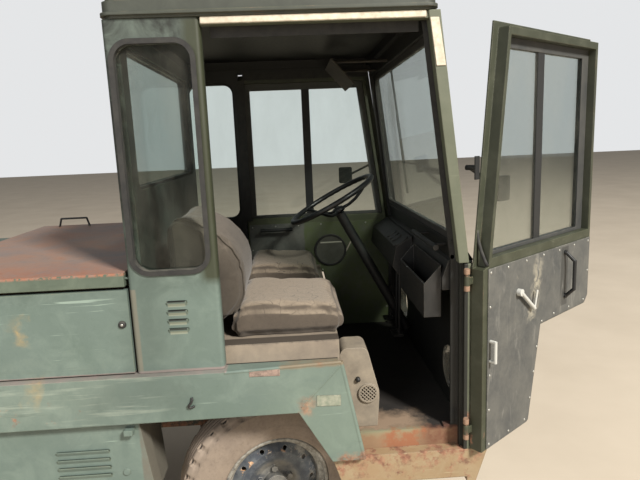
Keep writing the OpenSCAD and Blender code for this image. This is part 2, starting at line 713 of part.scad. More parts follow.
module heater() color("gray") from_hitch() {
    side_plate(heater_y - 120, heater_y) difference() {
        union() {
            polygon([[306, floor_z + seat_gap], [404, floor_z + seat_gap], [413, 748], [413, 778], [377, 925],
                     [320, 946], [300, 946], [base_front_x + 4, 925], [base_front_x + 4, 714]]);
            translate([302, 918]) circle(28);
            translate([350, 918]) circle(28);
            translate([302, 900]) square([48, 46]);
        }
        translate([372, 772]) circle(30);
    }
    side_plate(heater_y - 120, heater_y - 8) translate([372, 772]) circle(31);
    side_plate(heater_y - 10, heater_y + 8) translate([372, 772]) {
        difference() {
            circle(36);
            circle(29);
        }
        for (bar = [-20:10:20], turn = [45, 135])
            rotate(turn) translate([-sqrt(900 - bar * bar), bar - 1.5]) square([2 * sqrt(900 - bar * bar), 3]);
    }
}

// Doors: the outlines are those of the closed right door, in the XZ plane

box_outline = [[-118, 985], [-88, 953], [288, 953], [364, 590], [378, door_foot_z], [683, door_foot_z],
               [683, belt_z - 20], [651, belt_z - 14], [548, door_top_z], [-118, door_top_z]];
skin_outline = [[-138, 985], [-88, 953], [288, 953], [364, 590], [378, door_foot_z], [683, door_foot_z],
                [683, belt_z - 14], [676, belt_z + 4], [576, skin_top_z], [-138, skin_top_z]];

// Window of a door, shrunk by some millimetres at the rear, front, foot and top
module pane(rear, front, foot, top)
    polygon([[-102 + rear, pane_foot_z + foot], [633 - front - 0.132 * foot, pane_foot_z + foot],
             [537 - front + 0.132 * top, pane_top_z - top], [-102 + rear, pane_top_z - top]]);

// Turns a closed door's pieces about its hinge
module door_frame(side)
    translate([hinge_x, side * hinge_y, 0])
        rotate([0, 0, side > 0 ? 0 : door_open])
            translate([-hinge_x, -side * hinge_y, 0])
                mirror([0, side > 0 ? 1 : 0, 0])
                    children();

module door_shell() {
    difference() {
        union() {
            side_plate(door_y, skin_y + 1) polygon(box_outline);
            side_plate(skin_y + seat_gap, door_out_y) polygon(skin_outline);
        }
        side_plate(door_y - 1, door_out_y + 1) pane(0, 0, 0, 0);
        side_plate(door_y + 8, skin_y - 8) polygon([[-104, 990], [-80, 966], [302, 966], [378, 596], [670, 596],
                                                   [670, belt_z - 40], [-104, belt_z - 40]]);
    }
    for (z = [upper_hinge_z, lower_hinge_z])
        difference() {
            union() {
                translate([hinge_x, -hinge_y, z - 20 + seat_gap]) cylinder(r = 10, h = 34);
                box(630, 683, -door_out_y, -skin_y, z - 15, z + 10);
                box(682, hinge_x, -door_out_y, -skin_y, z - 15, z + 10);
            }
            translate([hinge_x, -hinge_y, z - 39]) cylinder(r = hinge_pin_r + run_gap, h = 78);
        }
}

module door_left() color("darkolivegreen") from_hitch() door_frame(1) door_shell();
module door_right() color("darkolivegreen") from_hitch() door_frame(-1) door_shell();

// Upright bar between the two panes of a door: its rear edge, its width, and the rubber behind the panes
function bar_x(side) = side > 0 ? 208 : 252;
function bar_w(side) = side > 0 ? 42 : 45;
function rear_rubber(side) = side > 0 ? 32 : 52;

module door_glass(side) side_plate(skin_y - 5, skin_y) difference() {
    pane(rear_rubber(side) + seat_gap, door_rubber + seat_gap, 14 + seat_gap, door_rubber + 3 + seat_gap);
    translate([bar_x(side) - seat_gap, pane_foot_z]) square([bar_w(side) + 2 * seat_gap, pane_top_z - pane_foot_z]);
}

module door_glass_left() color("lightblue", 0.4) from_hitch() door_frame(1) door_glass(1);
module door_glass_right() color("lightblue", 0.4) from_hitch() door_frame(-1) door_glass(-1);

// Rubber, inner panel, handles and mirror of a door
module door_fittings(side) {
    difference() {
        side_plate(skin_y - 10, door_out_y + 3) pane(seat_gap, seat_gap, seat_gap, seat_gap);
        difference() {
            side_plate(skin_y - 11, door_out_y + 4) pane(rear_rubber(side), door_rubber, 14, door_rubber + 3);
            box(bar_x(side), bar_x(side) + bar_w(side), -skin_y - 4, -skin_y + 8, pane_foot_z, pane_top_z);
        }
    }
    side_plate(door_y - 4, door_y - seat_gap)
        polygon([[-112, 987], [-84, 957], [293, 957], [369, 590], [380, 584], [657, 584], [657, belt_z - 20], [-112, belt_z - 20]]);
    if (side < 0) {
        for (foot = [[112, 1208], [101, 1028]])
            rod_y(foot[0], 2 - door_y, 12 - door_y, foot[1], 10);
        rod([112, 10 - door_y, 1208], [104, 42 - door_y, 1174], 7);
        rod([104, 42 - door_y, 1178], [104, 42 - door_y, 1058], 7);
        rod([101, 10 - door_y, 1028], [104, 42 - door_y, 1062], 7);
        rod_y(467, 3 - door_y, 22 - door_y, 1120, 13);
        rod([467, 18 - door_y, 1120], [369, 18 - door_y, 1039], 7);
        rod([369, 18 - door_y, 1039], [352, 18 - door_y, 1106], 4);
        for (z = [912, 983])
            rod_y(645, 3 - door_y, 26 - door_y, z, 6);
        rod([645, 26 - door_y, 908], [645, 26 - door_y, 987], 6);
    } else {
        for (x = [-40, 116])
            rod_y(x, 3 - door_y, 40 - door_y, 1210, 7);
        rod([-50, 40 - door_y, 1210], [126, 40 - door_y, 1210], 9);
        side_plate(door_y - 8, door_y - 3) translate([332, 1099]) difference() {
            circle(70);
            circle(58);
        }
        rod([277, 6 - door_y, 1122], [402, 6 - door_y, 1122], 6);
    }
    box(640, 662, -door_out_y - 6, -door_out_y - seat_gap, 1535, 1612);
    rod([651, -door_out_y - 4, 1574], [651, -700, 1574], 9);
    rod([651, -690, 1574], [470, -690, 1492], 6);
    side_plate(682, 697) round_rect(402, 476, 1442, 1532, 10);
    for (x = [-60, 60])
        rod_y(x, -690, -door_out_y - seat_gap, 1090, 6);
    rod([-70, -686, 1090], [70, -686, 1090], 9);
}

module door_fittings_left() color("dimgray") from_hitch() door_frame(1) door_fittings(1);
module door_fittings_right() color("dimgray") from_hitch() door_frame(-1) door_fittings(-1);

module sun_visor() color("saddlebrown") from_hitch() {
    translate([428, 80, visor_z]) rotate([0, -42, 0]) cube([6, 370, 148]);
    for (y = [100, 430])
        rod([343, y, visor_arm_z], [post_top_x - seat_gap, y, visor_arm_z], 6);
}

// X of the windscreen's inner face at a height
function screen_x(z) = glass_top_x + (header_z - z) * (glass_foot_x - glass_top_x) / screen_h;

module wiper() color("black") from_hitch() {
    arm_z = wiper_z - 0.7 * screen_h;
    blade_z = [wiper_z - 0.37 * screen_h, wiper_z - 0.9 * screen_h];
    rod([post_top_x + 34 + seat_gap, 300, wiper_z], [post_top_x + 58, 300, wiper_z], 9);
    rod([post_top_x + 51, 300, wiper_z], [screen_x(arm_z) + 20, 180, arm_z], 5);
    rod([screen_x(blade_z[0]) + 16, 200, blade_z[0]], [screen_x(blade_z[1]) + 16, 160, blade_z[1]], 5);
}

module headlights() color("white") from_hitch()
    both_sides() translate([nose_x - 40, 440, 800]) rotate([0, 90, 0]) cylinder(r = 84, h = 44);

module tail_lights() color("red") from_hitch()
    both_sides() box(tail_x - 30, tail_x - 4 - seat_gap, 560, 630, 700, 790);

chassis_frame();
front_axle();
rear_axle();
leaf_springs();
knuckle_left();
knuckle_right();
tie_rod();
tyre_front_left();
tyre_front_right();
tyre_rear_left();
tyre_rear_right();
rim_front_left();
rim_front_right();
rim_rear_left();
rim_rear_right();
engine_block();
cab_floor();
seat_base();
cab_rear_wall();
quarter_panels();
roof();
windscreen_frame();
front_panel();
front_bumper();
side_skirts();
side_boxes();
engine_door_left();
engine_door_right();
engine_lid();
rear_body();
rear_coupling();
cab_glass();
window_seals();
dashboard();
steering_column();
steering_wheel();
cab_controls();
passenger_seat();
driver_seat();
heater();
door_left();
door_right();
door_glass_left();
door_glass_right();
door_fittings_left();
door_fittings_right();
sun_visor();
wiper();
headlights();
tail_lights();
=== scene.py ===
import bpy, bmesh, json, math
from mathutils import Matrix, Vector
from mathutils.bvhtree import BVHTree

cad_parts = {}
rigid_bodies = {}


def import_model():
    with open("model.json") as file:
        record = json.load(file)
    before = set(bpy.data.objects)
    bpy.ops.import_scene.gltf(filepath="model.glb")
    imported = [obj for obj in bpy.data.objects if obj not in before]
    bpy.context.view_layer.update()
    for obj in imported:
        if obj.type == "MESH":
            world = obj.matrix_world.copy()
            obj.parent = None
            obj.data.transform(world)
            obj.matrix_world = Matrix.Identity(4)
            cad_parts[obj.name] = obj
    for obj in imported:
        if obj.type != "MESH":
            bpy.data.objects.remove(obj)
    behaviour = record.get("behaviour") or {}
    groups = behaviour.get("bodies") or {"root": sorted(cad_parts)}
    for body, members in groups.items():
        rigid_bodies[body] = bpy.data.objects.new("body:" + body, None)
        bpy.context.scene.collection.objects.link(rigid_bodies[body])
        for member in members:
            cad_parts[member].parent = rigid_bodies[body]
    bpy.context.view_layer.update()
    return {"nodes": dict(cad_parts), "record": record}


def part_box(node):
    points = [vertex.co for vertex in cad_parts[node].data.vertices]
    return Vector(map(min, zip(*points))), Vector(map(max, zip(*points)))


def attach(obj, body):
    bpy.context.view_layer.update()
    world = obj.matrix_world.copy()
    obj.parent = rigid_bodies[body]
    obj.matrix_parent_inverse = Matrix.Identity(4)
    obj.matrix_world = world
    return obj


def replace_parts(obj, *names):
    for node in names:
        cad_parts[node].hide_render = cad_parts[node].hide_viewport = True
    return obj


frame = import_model()
nodes = frame["nodes"]
scene = bpy.context.scene


# Places are in millimetres from the ground under the middle of the front axle: x forward, y left, z up
AXLE_X = 2.04
GROUND_Z = -0.42
# Resting angle of the front wheels, and how far the right door stands open, in degrees
STEER = 14
DOOR_OPEN = 218
HINGE_X = 703
HINGE_Y = -660
# Steering wheel: outer diameter, centre and tilt
STEER_D = 470
STEER_CENTRE = (327, 280, 1397)
STEER_TILT = 28


def D(x, y, z):
    """A place in millimetres, turned into the frame's metres."""
    return Vector((x / 1000 + AXLE_X, y / 1000, z / 1000 + GROUND_Z))


def door_turn():
    """Rotation that takes the right door from shut to open."""
    return Matrix.Rotation(math.radians(DOOR_OPEN), 3, "Z")


def DR(x, y, z):
    """A place given with the right door closed, moved to where the open door has it."""
    p = door_turn() @ Vector((x - HINGE_X, y - HINGE_Y, 0))
    return D(p.x + HINGE_X, p.y + HINGE_Y, z)


# Camera at the photograph's place

PHOTO_WIDTH_PX = 640
FOCAL_PX = 550
SENSOR_MM = 36
CAMERA_PLACE = (2.170, -2.426, 1.260)
# Yaw, pitch and roll in degrees
CAMERA_ANGLES = (2.752, 10.149, 2.367)


def make_camera():
    yaw, pitch, roll = (math.radians(a) for a in CAMERA_ANGLES)
    fwd = Vector((math.sin(yaw), math.cos(yaw), 0))
    right = Vector((math.cos(yaw), -math.sin(yaw), 0))
    up = Vector((0, 0, 1))
    f2 = fwd * math.cos(pitch) - up * math.sin(pitch)
    u2 = up * math.cos(pitch) + fwd * math.sin(pitch)
    r3 = right * math.cos(roll) - u2 * math.sin(roll)
    u3 = u2 * math.cos(roll) + right * math.sin(roll)
    data = bpy.data.cameras.new("camera")
    data.lens = FOCAL_PX / PHOTO_WIDTH_PX * SENSOR_MM
    data.sensor_width = SENSOR_MM
    data.sensor_fit = "HORIZONTAL"
    data.clip_start = 0.02
    data.clip_end = 200
    cam = bpy.data.objects.new("camera", data)
    scene.collection.objects.link(cam)
    m = Matrix((r3, u3, -f2)).transposed().to_4x4()
    m.translation = Vector(CAMERA_PLACE)
    cam.matrix_world = m
    scene.camera = cam


make_camera()


# Material nodes

class Mat:
    """A node material with a short way to add its nodes."""

    def __init__(self, name, **sockets):
        self.m = bpy.data.materials.new(name)
        self.m.use_nodes = True
        self.nt = self.m.node_tree
        self.bsdf = self.nt.nodes["Principled BSDF"]
        coord = self.nt.nodes.new("ShaderNodeTexCoord")
        self.p = coord.outputs["Object"]
        self.n = coord.outputs["Normal"]
        self.jitters = {}
        self.round = None
        self.set(**sockets)

    def set(self, **sockets):
        for key, value in sockets.items():
            self.put(self.bsdf.inputs[key.replace("_", " ")], value)

    def colour(self):
        """What feeds the base colour so far."""
        return self.bsdf.inputs["Base Color"].links[0].from_socket

    def put(self, socket, value):
        if isinstance(value, bpy.types.NodeSocket):
            self.nt.links.new(value, socket)
        elif isinstance(value, (tuple, list)):
            v = tuple(value)
            socket.default_value = v + (1,) if len(v) == 3 and socket.type == "RGBA" else v
        else:
            socket.default_value = value

    def add(self, kind, out=0, props=None, **ins):
        n = self.nt.nodes.new("ShaderNode" + kind)
        for key, value in (props or {}).items():
            setattr(n, key, value)
        for key, value in ins.items():
            key = key.replace("_", " ")
            self.put(n.inputs[int(key[1:])] if key[0] == "i" and key[1:].isdigit() else n.inputs[key], value)
        return n.outputs[out]

    def noise(self, scale, detail=4, rough=0.6, stretch=None, warp=0, shift=None):
        p = self.p
        if stretch or shift:
            p = self.add("Mapping", Vector=p, Scale=stretch or (1, 1, 1), Location=shift or (0, 0, 0))
        return self.add("TexNoise", Vector=p, Scale=scale, Detail=detail, Roughness=rough, Distortion=warp)

    def voronoi(self, scale, feature, p):
        return self.add("TexVoronoi", 0, {"feature": feature}, Vector=p, Scale=scale)

    def ramp(self, fac, *stops):
        n = self.nt.nodes.new("ShaderNodeValToRGB")
        self.put(n.inputs[0], fac)
        e = n.color_ramp.elements
        while len(e) < len(stops):
            e.new(0.5)
        for el, (pos, col) in zip(e, stops):
            el.position = pos
            el.color = (*col, 1)
        return n.outputs[0]

    def step(self, fac, lo, hi):
        return self.add("MapRange", i0=fac, i1=lo, i2=hi, i3=0.0, i4=1.0)

    def math(self, op, a, b=0.0):
        return self.add("Math", 0, {"operation": op}, i0=a, i1=b)

    def times(self, *values):
        out = values[0]
        for v in values[1:]:
            out = self.math("MULTIPLY", out, v)
        return out

    def most(self, *values):
        out = values[0]
        for v in values[1:]:
            out = self.math("MAXIMUM", out, v)
        return out

    def mix(self, fac, a, b, blend="MIX"):
        n = self.nt.nodes.new("ShaderNodeMix")
        n.data_type = "RGBA"
        n.blend_type = blend
        n.clamp_factor = True
        self.put(n.inputs[0], fac)
        self.put(n.inputs[6], a)
        self.put(n.inputs[7], b)
        return n.outputs[2]

    def xyz(self, p=None):
        n = self.nt.nodes.new("ShaderNodeSeparateXYZ")
        self.put(n.inputs[0], p or self.p)
        return n.outputs[0], n.outputs[1], n.outputs[2]

    def zone(self, x=None, y=None, z=None, soft=4, ragged=0, scale=20, p=None):
        """1 inside a box given in the design's millimetres, with a soft or ragged edge."""
        out = None
        for v, lim, off in zip(self.xyz(p), (x, y, z), (AXLE_X * 1000, 0, GROUND_Z * 1000)):
            if lim is None:
                continue
            if ragged:
                if scale not in self.jitters:
                    n = self.noise(scale, 5, 0.65)
                    self.jitters[scale] = self.math("SUBTRACT", n, 0.5)
                v = self.math("ADD", v, self.math("MULTIPLY", self.jitters[scale], ragged / 500))
            lo, hi = ((a + off) / 1000 for a in lim)
            s = soft / 1000
            a = self.times(self.step(v, lo - s, lo + s), self.step(v, hi + s, hi - s))
            out = a if out is None else self.times(out, a)
        return out

    def closed_door(self):
        """Position with the right door turned back to its closed place."""
        return self.add("VectorRotate", props={"rotation_type": "Z_AXIS"}, Vector=self.p,
                        Center=tuple(D(HINGE_X, HINGE_Y, 420)), Angle=math.radians(-DOOR_OPEN))

    def edge(self, radius=0.004):
        """Near 1 on sharp edges."""
        bev = self.add("Bevel", props={"samples": 4}, Radius=radius)
        self.round = bev
        geo = self.nt.nodes.new("ShaderNodeNewGeometry")
        dot = self.add("VectorMath", 1, {"operation": "DOT_PRODUCT"}, i0=bev, i1=geo.outputs["Normal"])
        return self.step(self.math("SUBTRACT", 1.0, dot), 0.02, 0.25)

    def bump(self, height, strength, dist):
        out = self.add("Bump", Strength=strength, Distance=dist, Height=height)
        if self.round is not None:
            self.put(out.node.inputs["Normal"], self.round)
        self.put(self.bsdf.inputs["Normal"], out)


def srgb(r, g, b):
    """Picture values 0 to 255, turned into linear colour."""
    return tuple(((c / 255 + 0.055) / 1.055) ** 2.4 if c > 10 else c / 255 / 12.92 for c in (r, g, b))


def shade(colour, k):
    return tuple(min(1, c * k) for c in colour)


def assign(mat, name):
    ob = nodes[name]
    ob.data.materials.clear()
    ob.data.materials.append(mat.m)


RUST = (srgb(84, 56, 44), srgb(130, 92, 72), srgb(160, 124, 98))
WORN_EDGE = srgb(116, 118, 84)
# The space inside the cab, whose near-black paint is painted shade with dirt
INSIDE = dict(x=(-382, 742), y=(-608, 608), z=(430, 2112), soft=2)
# Frame heights between which the lower paint changes to the upper, whose darker colour on the body is painted
# shade, shifted a little by blotches
BELT_FOOT = 0.82
BELT_TOP = 1.1


def paint(name, low, high, pale, rusty=0.3, wear=0.5, scratch=0.4, patches=(), streaks=(), inside=None):
    """Weathered paint. low and high are its colours below and above the belt, a darker high being painted
    shade, patches are boxes of rust.
    """
    m = Mat(name)
    z = m.xyz()[2]
    blotch = m.noise(2.6, 5, 0.6)
    cloud = m.noise(9, 6, 0.65, warp=0.6)
    fine = m.noise(70, 5, 0.7)
    top = m.step(m.math("ADD", z, m.math("MULTIPLY", blotch, 0.12)), BELT_FOOT, BELT_TOP)
    col = m.mix(top, low, high)
    deeper = m.mix(1.0, col, (0.74, 0.8, 0.74), "MULTIPLY")
    col = m.mix(m.times(m.step(blotch, 0.42, 0.68), 0.45), col, deeper)
    col = m.mix(m.times(m.step(cloud, 0.45, 0.72), 0.4), col, pale)
    dimmer = m.mix(1.0, col, (0.6, 0.62, 0.6), "MULTIPLY")
    col = m.mix(m.times(m.step(fine, 0.55, 0.8), 0.25), col, dimmer)
    if scratch:
        lines = m.step(m.noise(30, 3, 0.6, stretch=(0.12, 1, 2.6), warp=0.3), 0.66, 0.71)
        far = m.step(m.noise(4, 3, 0.5, shift=(5, 1, 2)), 0.5, 0.62)
        col = m.mix(m.times(lines, far, scratch), col, shade(pale, 1.5))
        dark = m.step(m.noise(24, 3, 0.6, stretch=(0.1, 1, 2.2), shift=(2, 3, 7)), 0.67, 0.72)
        col = m.mix(m.times(dark, far, scratch * 0.7), col, shade(low, 0.45))
    edge = m.edge(0.005)
    col = m.mix(m.times(edge, m.step(m.noise(7, 4), 0.35, 0.6), wear), col, WORN_EDGE)
    rust_n = m.noise(22, 7, 0.7)
    rust = m.ramp(m.noise(34, 5, 0.7), (0.32, RUST[0]), (0.5, RUST[1]), (0.7, RUST[2]))
    masks = [m.times(m.step(m.noise(8, 8, 0.75), 0.7, 0.73), rusty),
             m.times(edge, m.step(m.noise(14, 5), 0.62 - 0.2 * rusty, 0.68), min(1, rusty + 0.2))]
    for strength, box in patches:
        masks.append(m.times(m.zone(**box), m.step(rust_n, 0.62 - 0.34 * strength, 0.7 - 0.3 * strength)))
    mask = m.most(*masks)
    col = m.mix(mask, col, rust)
    for colour, strength, box in streaks:
        col = m.mix(m.times(m.zone(**box), strength), col, colour)
    # Inside the cab the paint turns to the near-black inside colour, blotched a little: painted shade of the
    # cab's inside, with dirt.
    if inside:
        dirt_and_shade = m.step(m.noise(6, 5), 0.4, 0.7)
        dark = m.mix(dirt_and_shade, inside, shade(inside, 1.8))
        col = m.mix(m.zone(**INSIDE), col, dark)
    m.set(Base_Color=col, Roughness=m.math("ADD", 0.45, m.math("MULTIPLY", m.math("ADD", fine, mask), 0.22)))
    grain = m.math("ADD", m.math("MULTIPLY", fine, 0.04), m.math("MULTIPLY", m.times(mask, rust_n), 0.3))
    m.bump(m.math("ADD", m.math("MULTIPLY", m.noise(4, 2), 1.2), grain), 0.22, 0.004)
    return m


def simple(name, a, b, scale, rough=0.6, bump=0.2, metal=0.0, stretch=None, edge=None, masks=(), closed=False,
           dust=None):
    """Two colours in clouds, with optional worn edges, dust on top and boxes of other colours."""
    m = Mat(name, Metallic=metal)
    p = m.closed_door() if closed else m.p
    n1 = m.noise(scale, 6, 0.65, stretch=stretch)
    n2 = m.noise(scale * 7, 4, 0.6, stretch=stretch)
    col = m.mix(m.step(n1, 0.35, 0.65), a, b)
    col = m.mix(m.times(m.step(n2, 0.45, 0.75), 0.35), col, shade(b, 1.4))
    rgh = m.math("ADD", rough - 0.1, m.math("MULTIPLY", n2, 0.25))
    if dust:
        up = m.xyz(m.n)[2]
        col = m.mix(m.times(m.step(up, 0.2, 0.9), m.step(n1, 0.3, 0.6)), col, dust)
    if edge:
        col = m.mix(m.times(m.edge(), m.step(m.noise(scale * 2, 4), 0.35, 0.6)), col, edge)
    for colour, strength, box in masks:
        col = m.mix(m.times(m.zone(p=p, **box), strength), col, colour)
    m.set(Base_Color=col, Roughness=rgh)
    m.bump(m.math("ADD", n1, m.math("MULTIPLY", n2, 0.4)), bump, 0.002)
    return m


# Materials

GREEN_LOW = srgb(92, 106, 99)
# The darker upper green is painted shade on the upper body.
GREEN_HIGH_SHADED = srgb(31, 35, 29)
GREEN_PALE = srgb(120, 134, 124)
STAIN = srgb(196, 152, 74)
PRIMER = srgb(142, 122, 118)
HINGE_TAN = srgb(142, 112, 92)
# Upper edges of the louvers in the quarter panels
LOUVER_TOPS = (1180, 1149, 1117, 1085)


def stains(m):
    """Faint orange stains on the engine door and the skirt, right side only."""
    patchy = m.step(m.noise(9, 4, 0.6, shift=(2, 0, 5)), 0.42, 0.6)
    upper = m.zone((-812, -776), (-700, -620), (1050, 1128), 22, 70, 14)
    lower = m.zone((-782, -746), (-700, -620), (856, 930), 22, 70, 14)
    faint = m.times(m.most(upper, lower), patchy, 0.5)
    m.set(Base_Color=m.mix(faint, m.colour(), STAIN))


green = paint("body_paint_mat", GREEN_LOW, GREEN_HIGH_SHADED, GREEN_PALE, 0.2, 0.5, 0.6,
              inside=srgb(12, 13, 11), patches=[
    (0.75, dict(x=(120, 166), y=(-700, -600), z=(762, 812), soft=12, ragged=36)),
    (0.55, dict(x=(245, 420), y=(-700, -560), z=(560, 606), soft=10, ragged=30)),
    (0.5, dict(x=(190, 300), y=(-700, -560), z=(942, 990), soft=8, ragged=20)),
    (0.12, dict(x=(-900, -620), y=(-700, -640), z=(790, 850), soft=12, ragged=40)),
    (0.55, dict(x=(245, 420), y=(560, 700), z=(560, 606), soft=10, ragged=30)),
], streaks=[
    (srgb(134, 144, 130), 0.55, dict(x=(-2200, -500), y=(-700, -640), z=(780, 931), soft=90, ragged=160)),
    (srgb(122, 136, 118), 0.5, dict(x=(40, 420), y=(-700, -640), z=(560, 931), soft=90, ragged=160)),
    (srgb(118, 112, 98), 0.8, dict(x=(-424, -398), y=(-700, -600), z=(941, 1226), soft=2, ragged=3)),
    (PRIMER, 0.7, dict(x=(-2200, -118), z=(931, 941), soft=2, ragged=3)),
    (srgb(56, 66, 60), 0.5, dict(x=(-440, -300), y=(-700, -600), z=(941, 1240), soft=60)),
    (srgb(64, 74, 68), 0.55, dict(x=(-600, -240), y=(-700, -640), z=(790, 925), soft=50, ragged=60)),
    (srgb(96, 88, 78), 0.8, dict(x=(-436, -300), y=(-641, -380), z=(300, 776), soft=3, ragged=4)),
    (srgb(44, 48, 30), 0.95, dict(x=(-176, -92), y=(-700, -600), z=(1240, 2070), soft=14, ragged=8)),
    (srgb(60, 68, 44), 0.9, dict(x=(-118, -92), y=(-700, -600), z=(941, 1240), soft=8, ragged=6)),
    (srgb(128, 96, 64), 0.5, dict(x=(60, 290), y=(-700, -600), z=(931, 968), soft=5, ragged=12)),
])


def scuffs_and_louver_shading(m):
    """Long level scratches low on the skirt's rear part, and the louvers' dark slots and pale lips: painted
    shade in the slots and a painted highlight on the lips.
    """
    col = m.colour()
    low = m.zone((-1300, -330), None, (775, 932), 60, 120)
    pale = m.step(m.noise(26, 4, 0.65, stretch=(0.09, 1, 1.6), warp=0.2), 0.56, 0.64)
    dark = m.step(m.noise(22, 4, 0.65, stretch=(0.07, 1, 1.3), shift=(3, 1, 4)), 0.58, 0.66)
    col = m.mix(m.times(pale, low, 0.35), col, srgb(152, 160, 146))
    col = m.mix(m.times(dark, low, 0.5), col, srgb(66, 78, 68))
    for z in LOUVER_TOPS:
        # In each louver a dark band is painted shade in its slot, and the pale band under it is a painted
        # highlight on its lip.
        slot = dict(x=(-297, -240), y=(-700, 700), soft=1)
        col = m.mix(m.times(m.zone(z=(z - 4, z + 1), **slot), 0.95), col, srgb(22, 23, 20))
        col = m.mix(m.times(m.zone(z=(z - 20, z - 9), **slot), 0.6), col, srgb(138, 140, 122))
    m.set(Base_Color=col)


scuffs_and_louver_shading(green)
stains(green)
roof_m = paint("roof_mat", srgb(50, 54, 47), srgb(54, 57, 50), srgb(76, 80, 70), 0.3, 0.4, 0.2,
               inside=srgb(5, 5, 4))
olive = paint("post_paint_mat", srgb(84, 88, 72), srgb(84, 88, 72), srgb(104, 106, 90), 0.3, 0.4, 0.3,
              inside=srgb(11, 12, 10), patches=[
    (0.4, dict(x=(640, 740), z=(620, 720), soft=20, ragged=50)),
], streaks=[
    (srgb(17, 18, 15), 0.95, dict(x=(640, 712), y=(-646, -560), z=(560, 1256), soft=1)),
    (HINGE_TAN, 0.85, dict(x=(684, 730), y=(-700, -646), z=(560, 1262), soft=1)),
    (HINGE_TAN, 0.85, dict(x=(684, 730), y=(646, 700), z=(560, 1262), soft=1)),
])
door_paint = paint("door_paint_mat", srgb(50, 53, 38), srgb(50, 53, 40), srgb(84, 86, 72),
                   0.3, 0.45, 0.3, patches=[
    (0.3, dict(z=(600, 650), soft=12, ragged=40)),
])
# The far door's darker upper colour is painted shade.
far_door = paint("far_door_mat", srgb(72, 78, 54), srgb(46, 50, 36), srgb(96, 100, 74), 0.3, 0.5, 0.3)
bumper = paint("bumper_mat", srgb(140, 118, 90), srgb(122, 116, 92), srgb(158, 150, 124),
               0.6, 0.4, 0.4, patches=[
    (0.9, dict(x=(250, 760), z=(600, 660), soft=14, ragged=30)),
    (0.45, dict(x=(250, 760), z=(520, 612), soft=30, ragged=110)),
    (0.2, dict(z=(380, 540), soft=20, ragged=120)),
])
lid = paint("lid_mat", srgb(78, 88, 76), srgb(78, 88, 76), srgb(110, 120, 104), 0.4, 0.4, 0.2)


# Frame height of the lid's upper face; its handle stands above it
LID_TOP = 0.863
HANDLE_BLACK = srgb(20, 20, 19)


def lid_top(m):
    """Rust over worn paint on the lid's upper face."""
    nz = m.xyz(m.n)[2]
    _, y, z = m.xyz()
    n = m.noise(3.2, 8, 0.7, warp=0.8)
    fine = m.noise(40, 6, 0.7)
    rust = m.ramp(n, (0.3, srgb(112, 104, 100)), (0.5, srgb(130, 108, 96)), (0.68, srgb(142, 104, 82)))
    front = m.times(m.step(y, -0.38, -0.64), m.step(fine, 0.3, 0.6))
    rust = m.mix(m.times(front, 0.6), rust, srgb(150, 88, 54))
    rust = m.mix(m.times(m.step(m.noise(1.7, 4, shift=(3, 0, 0)), 0.5, 0.7), 0.6), rust, srgb(112, 108, 108))
    rust = m.mix(m.times(m.step(fine, 0.6, 0.75), 0.5), rust, srgb(84, 58, 46))
    col = m.colour()
    top = m.times(m.step(nz, 0.5, 0.8), m.step(z, LID_TOP - 0.006, LID_TOP - 0.003))
    col = m.mix(top, col, rust)
    fringe = m.times(m.step(z, LID_TOP - 0.011, LID_TOP - 0.005), m.step(m.noise(70, 4), 0.42, 0.5))
    col = m.mix(fringe, col, rust)
    m.set(Base_Color=m.mix(m.step(z, LID_TOP + 0.0025, LID_TOP + 0.004), col, HANDLE_BLACK))


lid_top(lid)
frame_m = paint("frame_mat", srgb(44, 46, 38), srgb(44, 46, 38), srgb(66, 64, 54), 0.8, 0.2, 0, patches=[
    (0.45, dict(z=(200, 640), soft=10, ragged=200))])
ROAD_DUST = srgb(96, 84, 70)
iron = simple("iron_mat", srgb(38, 36, 33), srgb(70, 56, 46), 12, edge=srgb(96, 82, 68), dust=ROAD_DUST)
steel = simple("steel_mat", srgb(62, 52, 44), srgb(92, 66, 48), 20, 0.6, 0.3, 0.3, dust=ROAD_DUST)


def wheel_place(m, name, centre):
    """Distance across the wheel and from its axle, with a front wheel's resting turn taken out."""
    turn = -STEER if "front" in name else 0
    q = m.add("VectorMath", 0, {"operation": "SUBTRACT"}, i0=m.p, i1=tuple(centre))
    q = m.add("VectorRotate", props={"rotation_type": "Z_AXIS"}, Vector=q, Angle=math.radians(turn))
    x, y, z = m.xyz(q)
    return y, m.math("SQRT", m.math("ADD", m.times(x, x), m.times(z, z)))


def rim_paint(name, centre):
    """Scuffed blue-black paint with a pale worn flange and rust at the slots, round one wheel's centre."""
    m = Mat(name)
    r = wheel_place(m, name, centre)[1]
    n = m.noise(16, 7, 0.7)
    fine = m.noise(60, 5, 0.7)
    col = m.mix(m.step(n, 0.4, 0.65), srgb(52, 58, 66), srgb(92, 96, 98))
    scuffed = m.step(m.noise(9, 8, 0.8, shift=(1, 5, 2)), 0.56, 0.64)
    col = m.mix(m.times(scuffed, 0.8), col, srgb(150, 146, 136))
    flange = m.times(m.step(r, 0.168, 0.176), m.step(n, 0.3, 0.45))
    worn = m.mix(m.step(fine, 0.4, 0.6), srgb(150, 148, 138), srgb(104, 98, 88))
    col = m.mix(m.times(flange, 0.85), col, worn)
    hub = m.step(r, 0.104, 0.086)
    col = m.mix(m.times(hub, m.step(n, 0.3, 0.6), 0.8), col, srgb(120, 116, 106))
    spots = m.noise(24, 5, 0.6, shift=(1, 2, 8))
    off = m.math("ABSOLUTE", m.math("SUBTRACT", r, 0.146))
    slots_ring = m.times(m.step(off, 0.014, 0.006), m.step(spots, 0.58, 0.62))
    rust = m.ramp(fine, (0.35, srgb(120, 74, 50)), (0.5, srgb(176, 132, 92)), (0.65, srgb(206, 190, 164)))
    col = m.mix(slots_ring, col, rust)
    col = m.mix(m.times(m.edge(0.003), m.step(fine, 0.3, 0.55)), col, srgb(170, 166, 156))
    m.set(Base_Color=col, Roughness=m.math("ADD", 0.35, m.math("MULTIPLY", n, 0.4)))
    m.bump(m.math("ADD", n, m.math("MULTIPLY", fine, 0.3)), 0.25, 0.002)
    return m


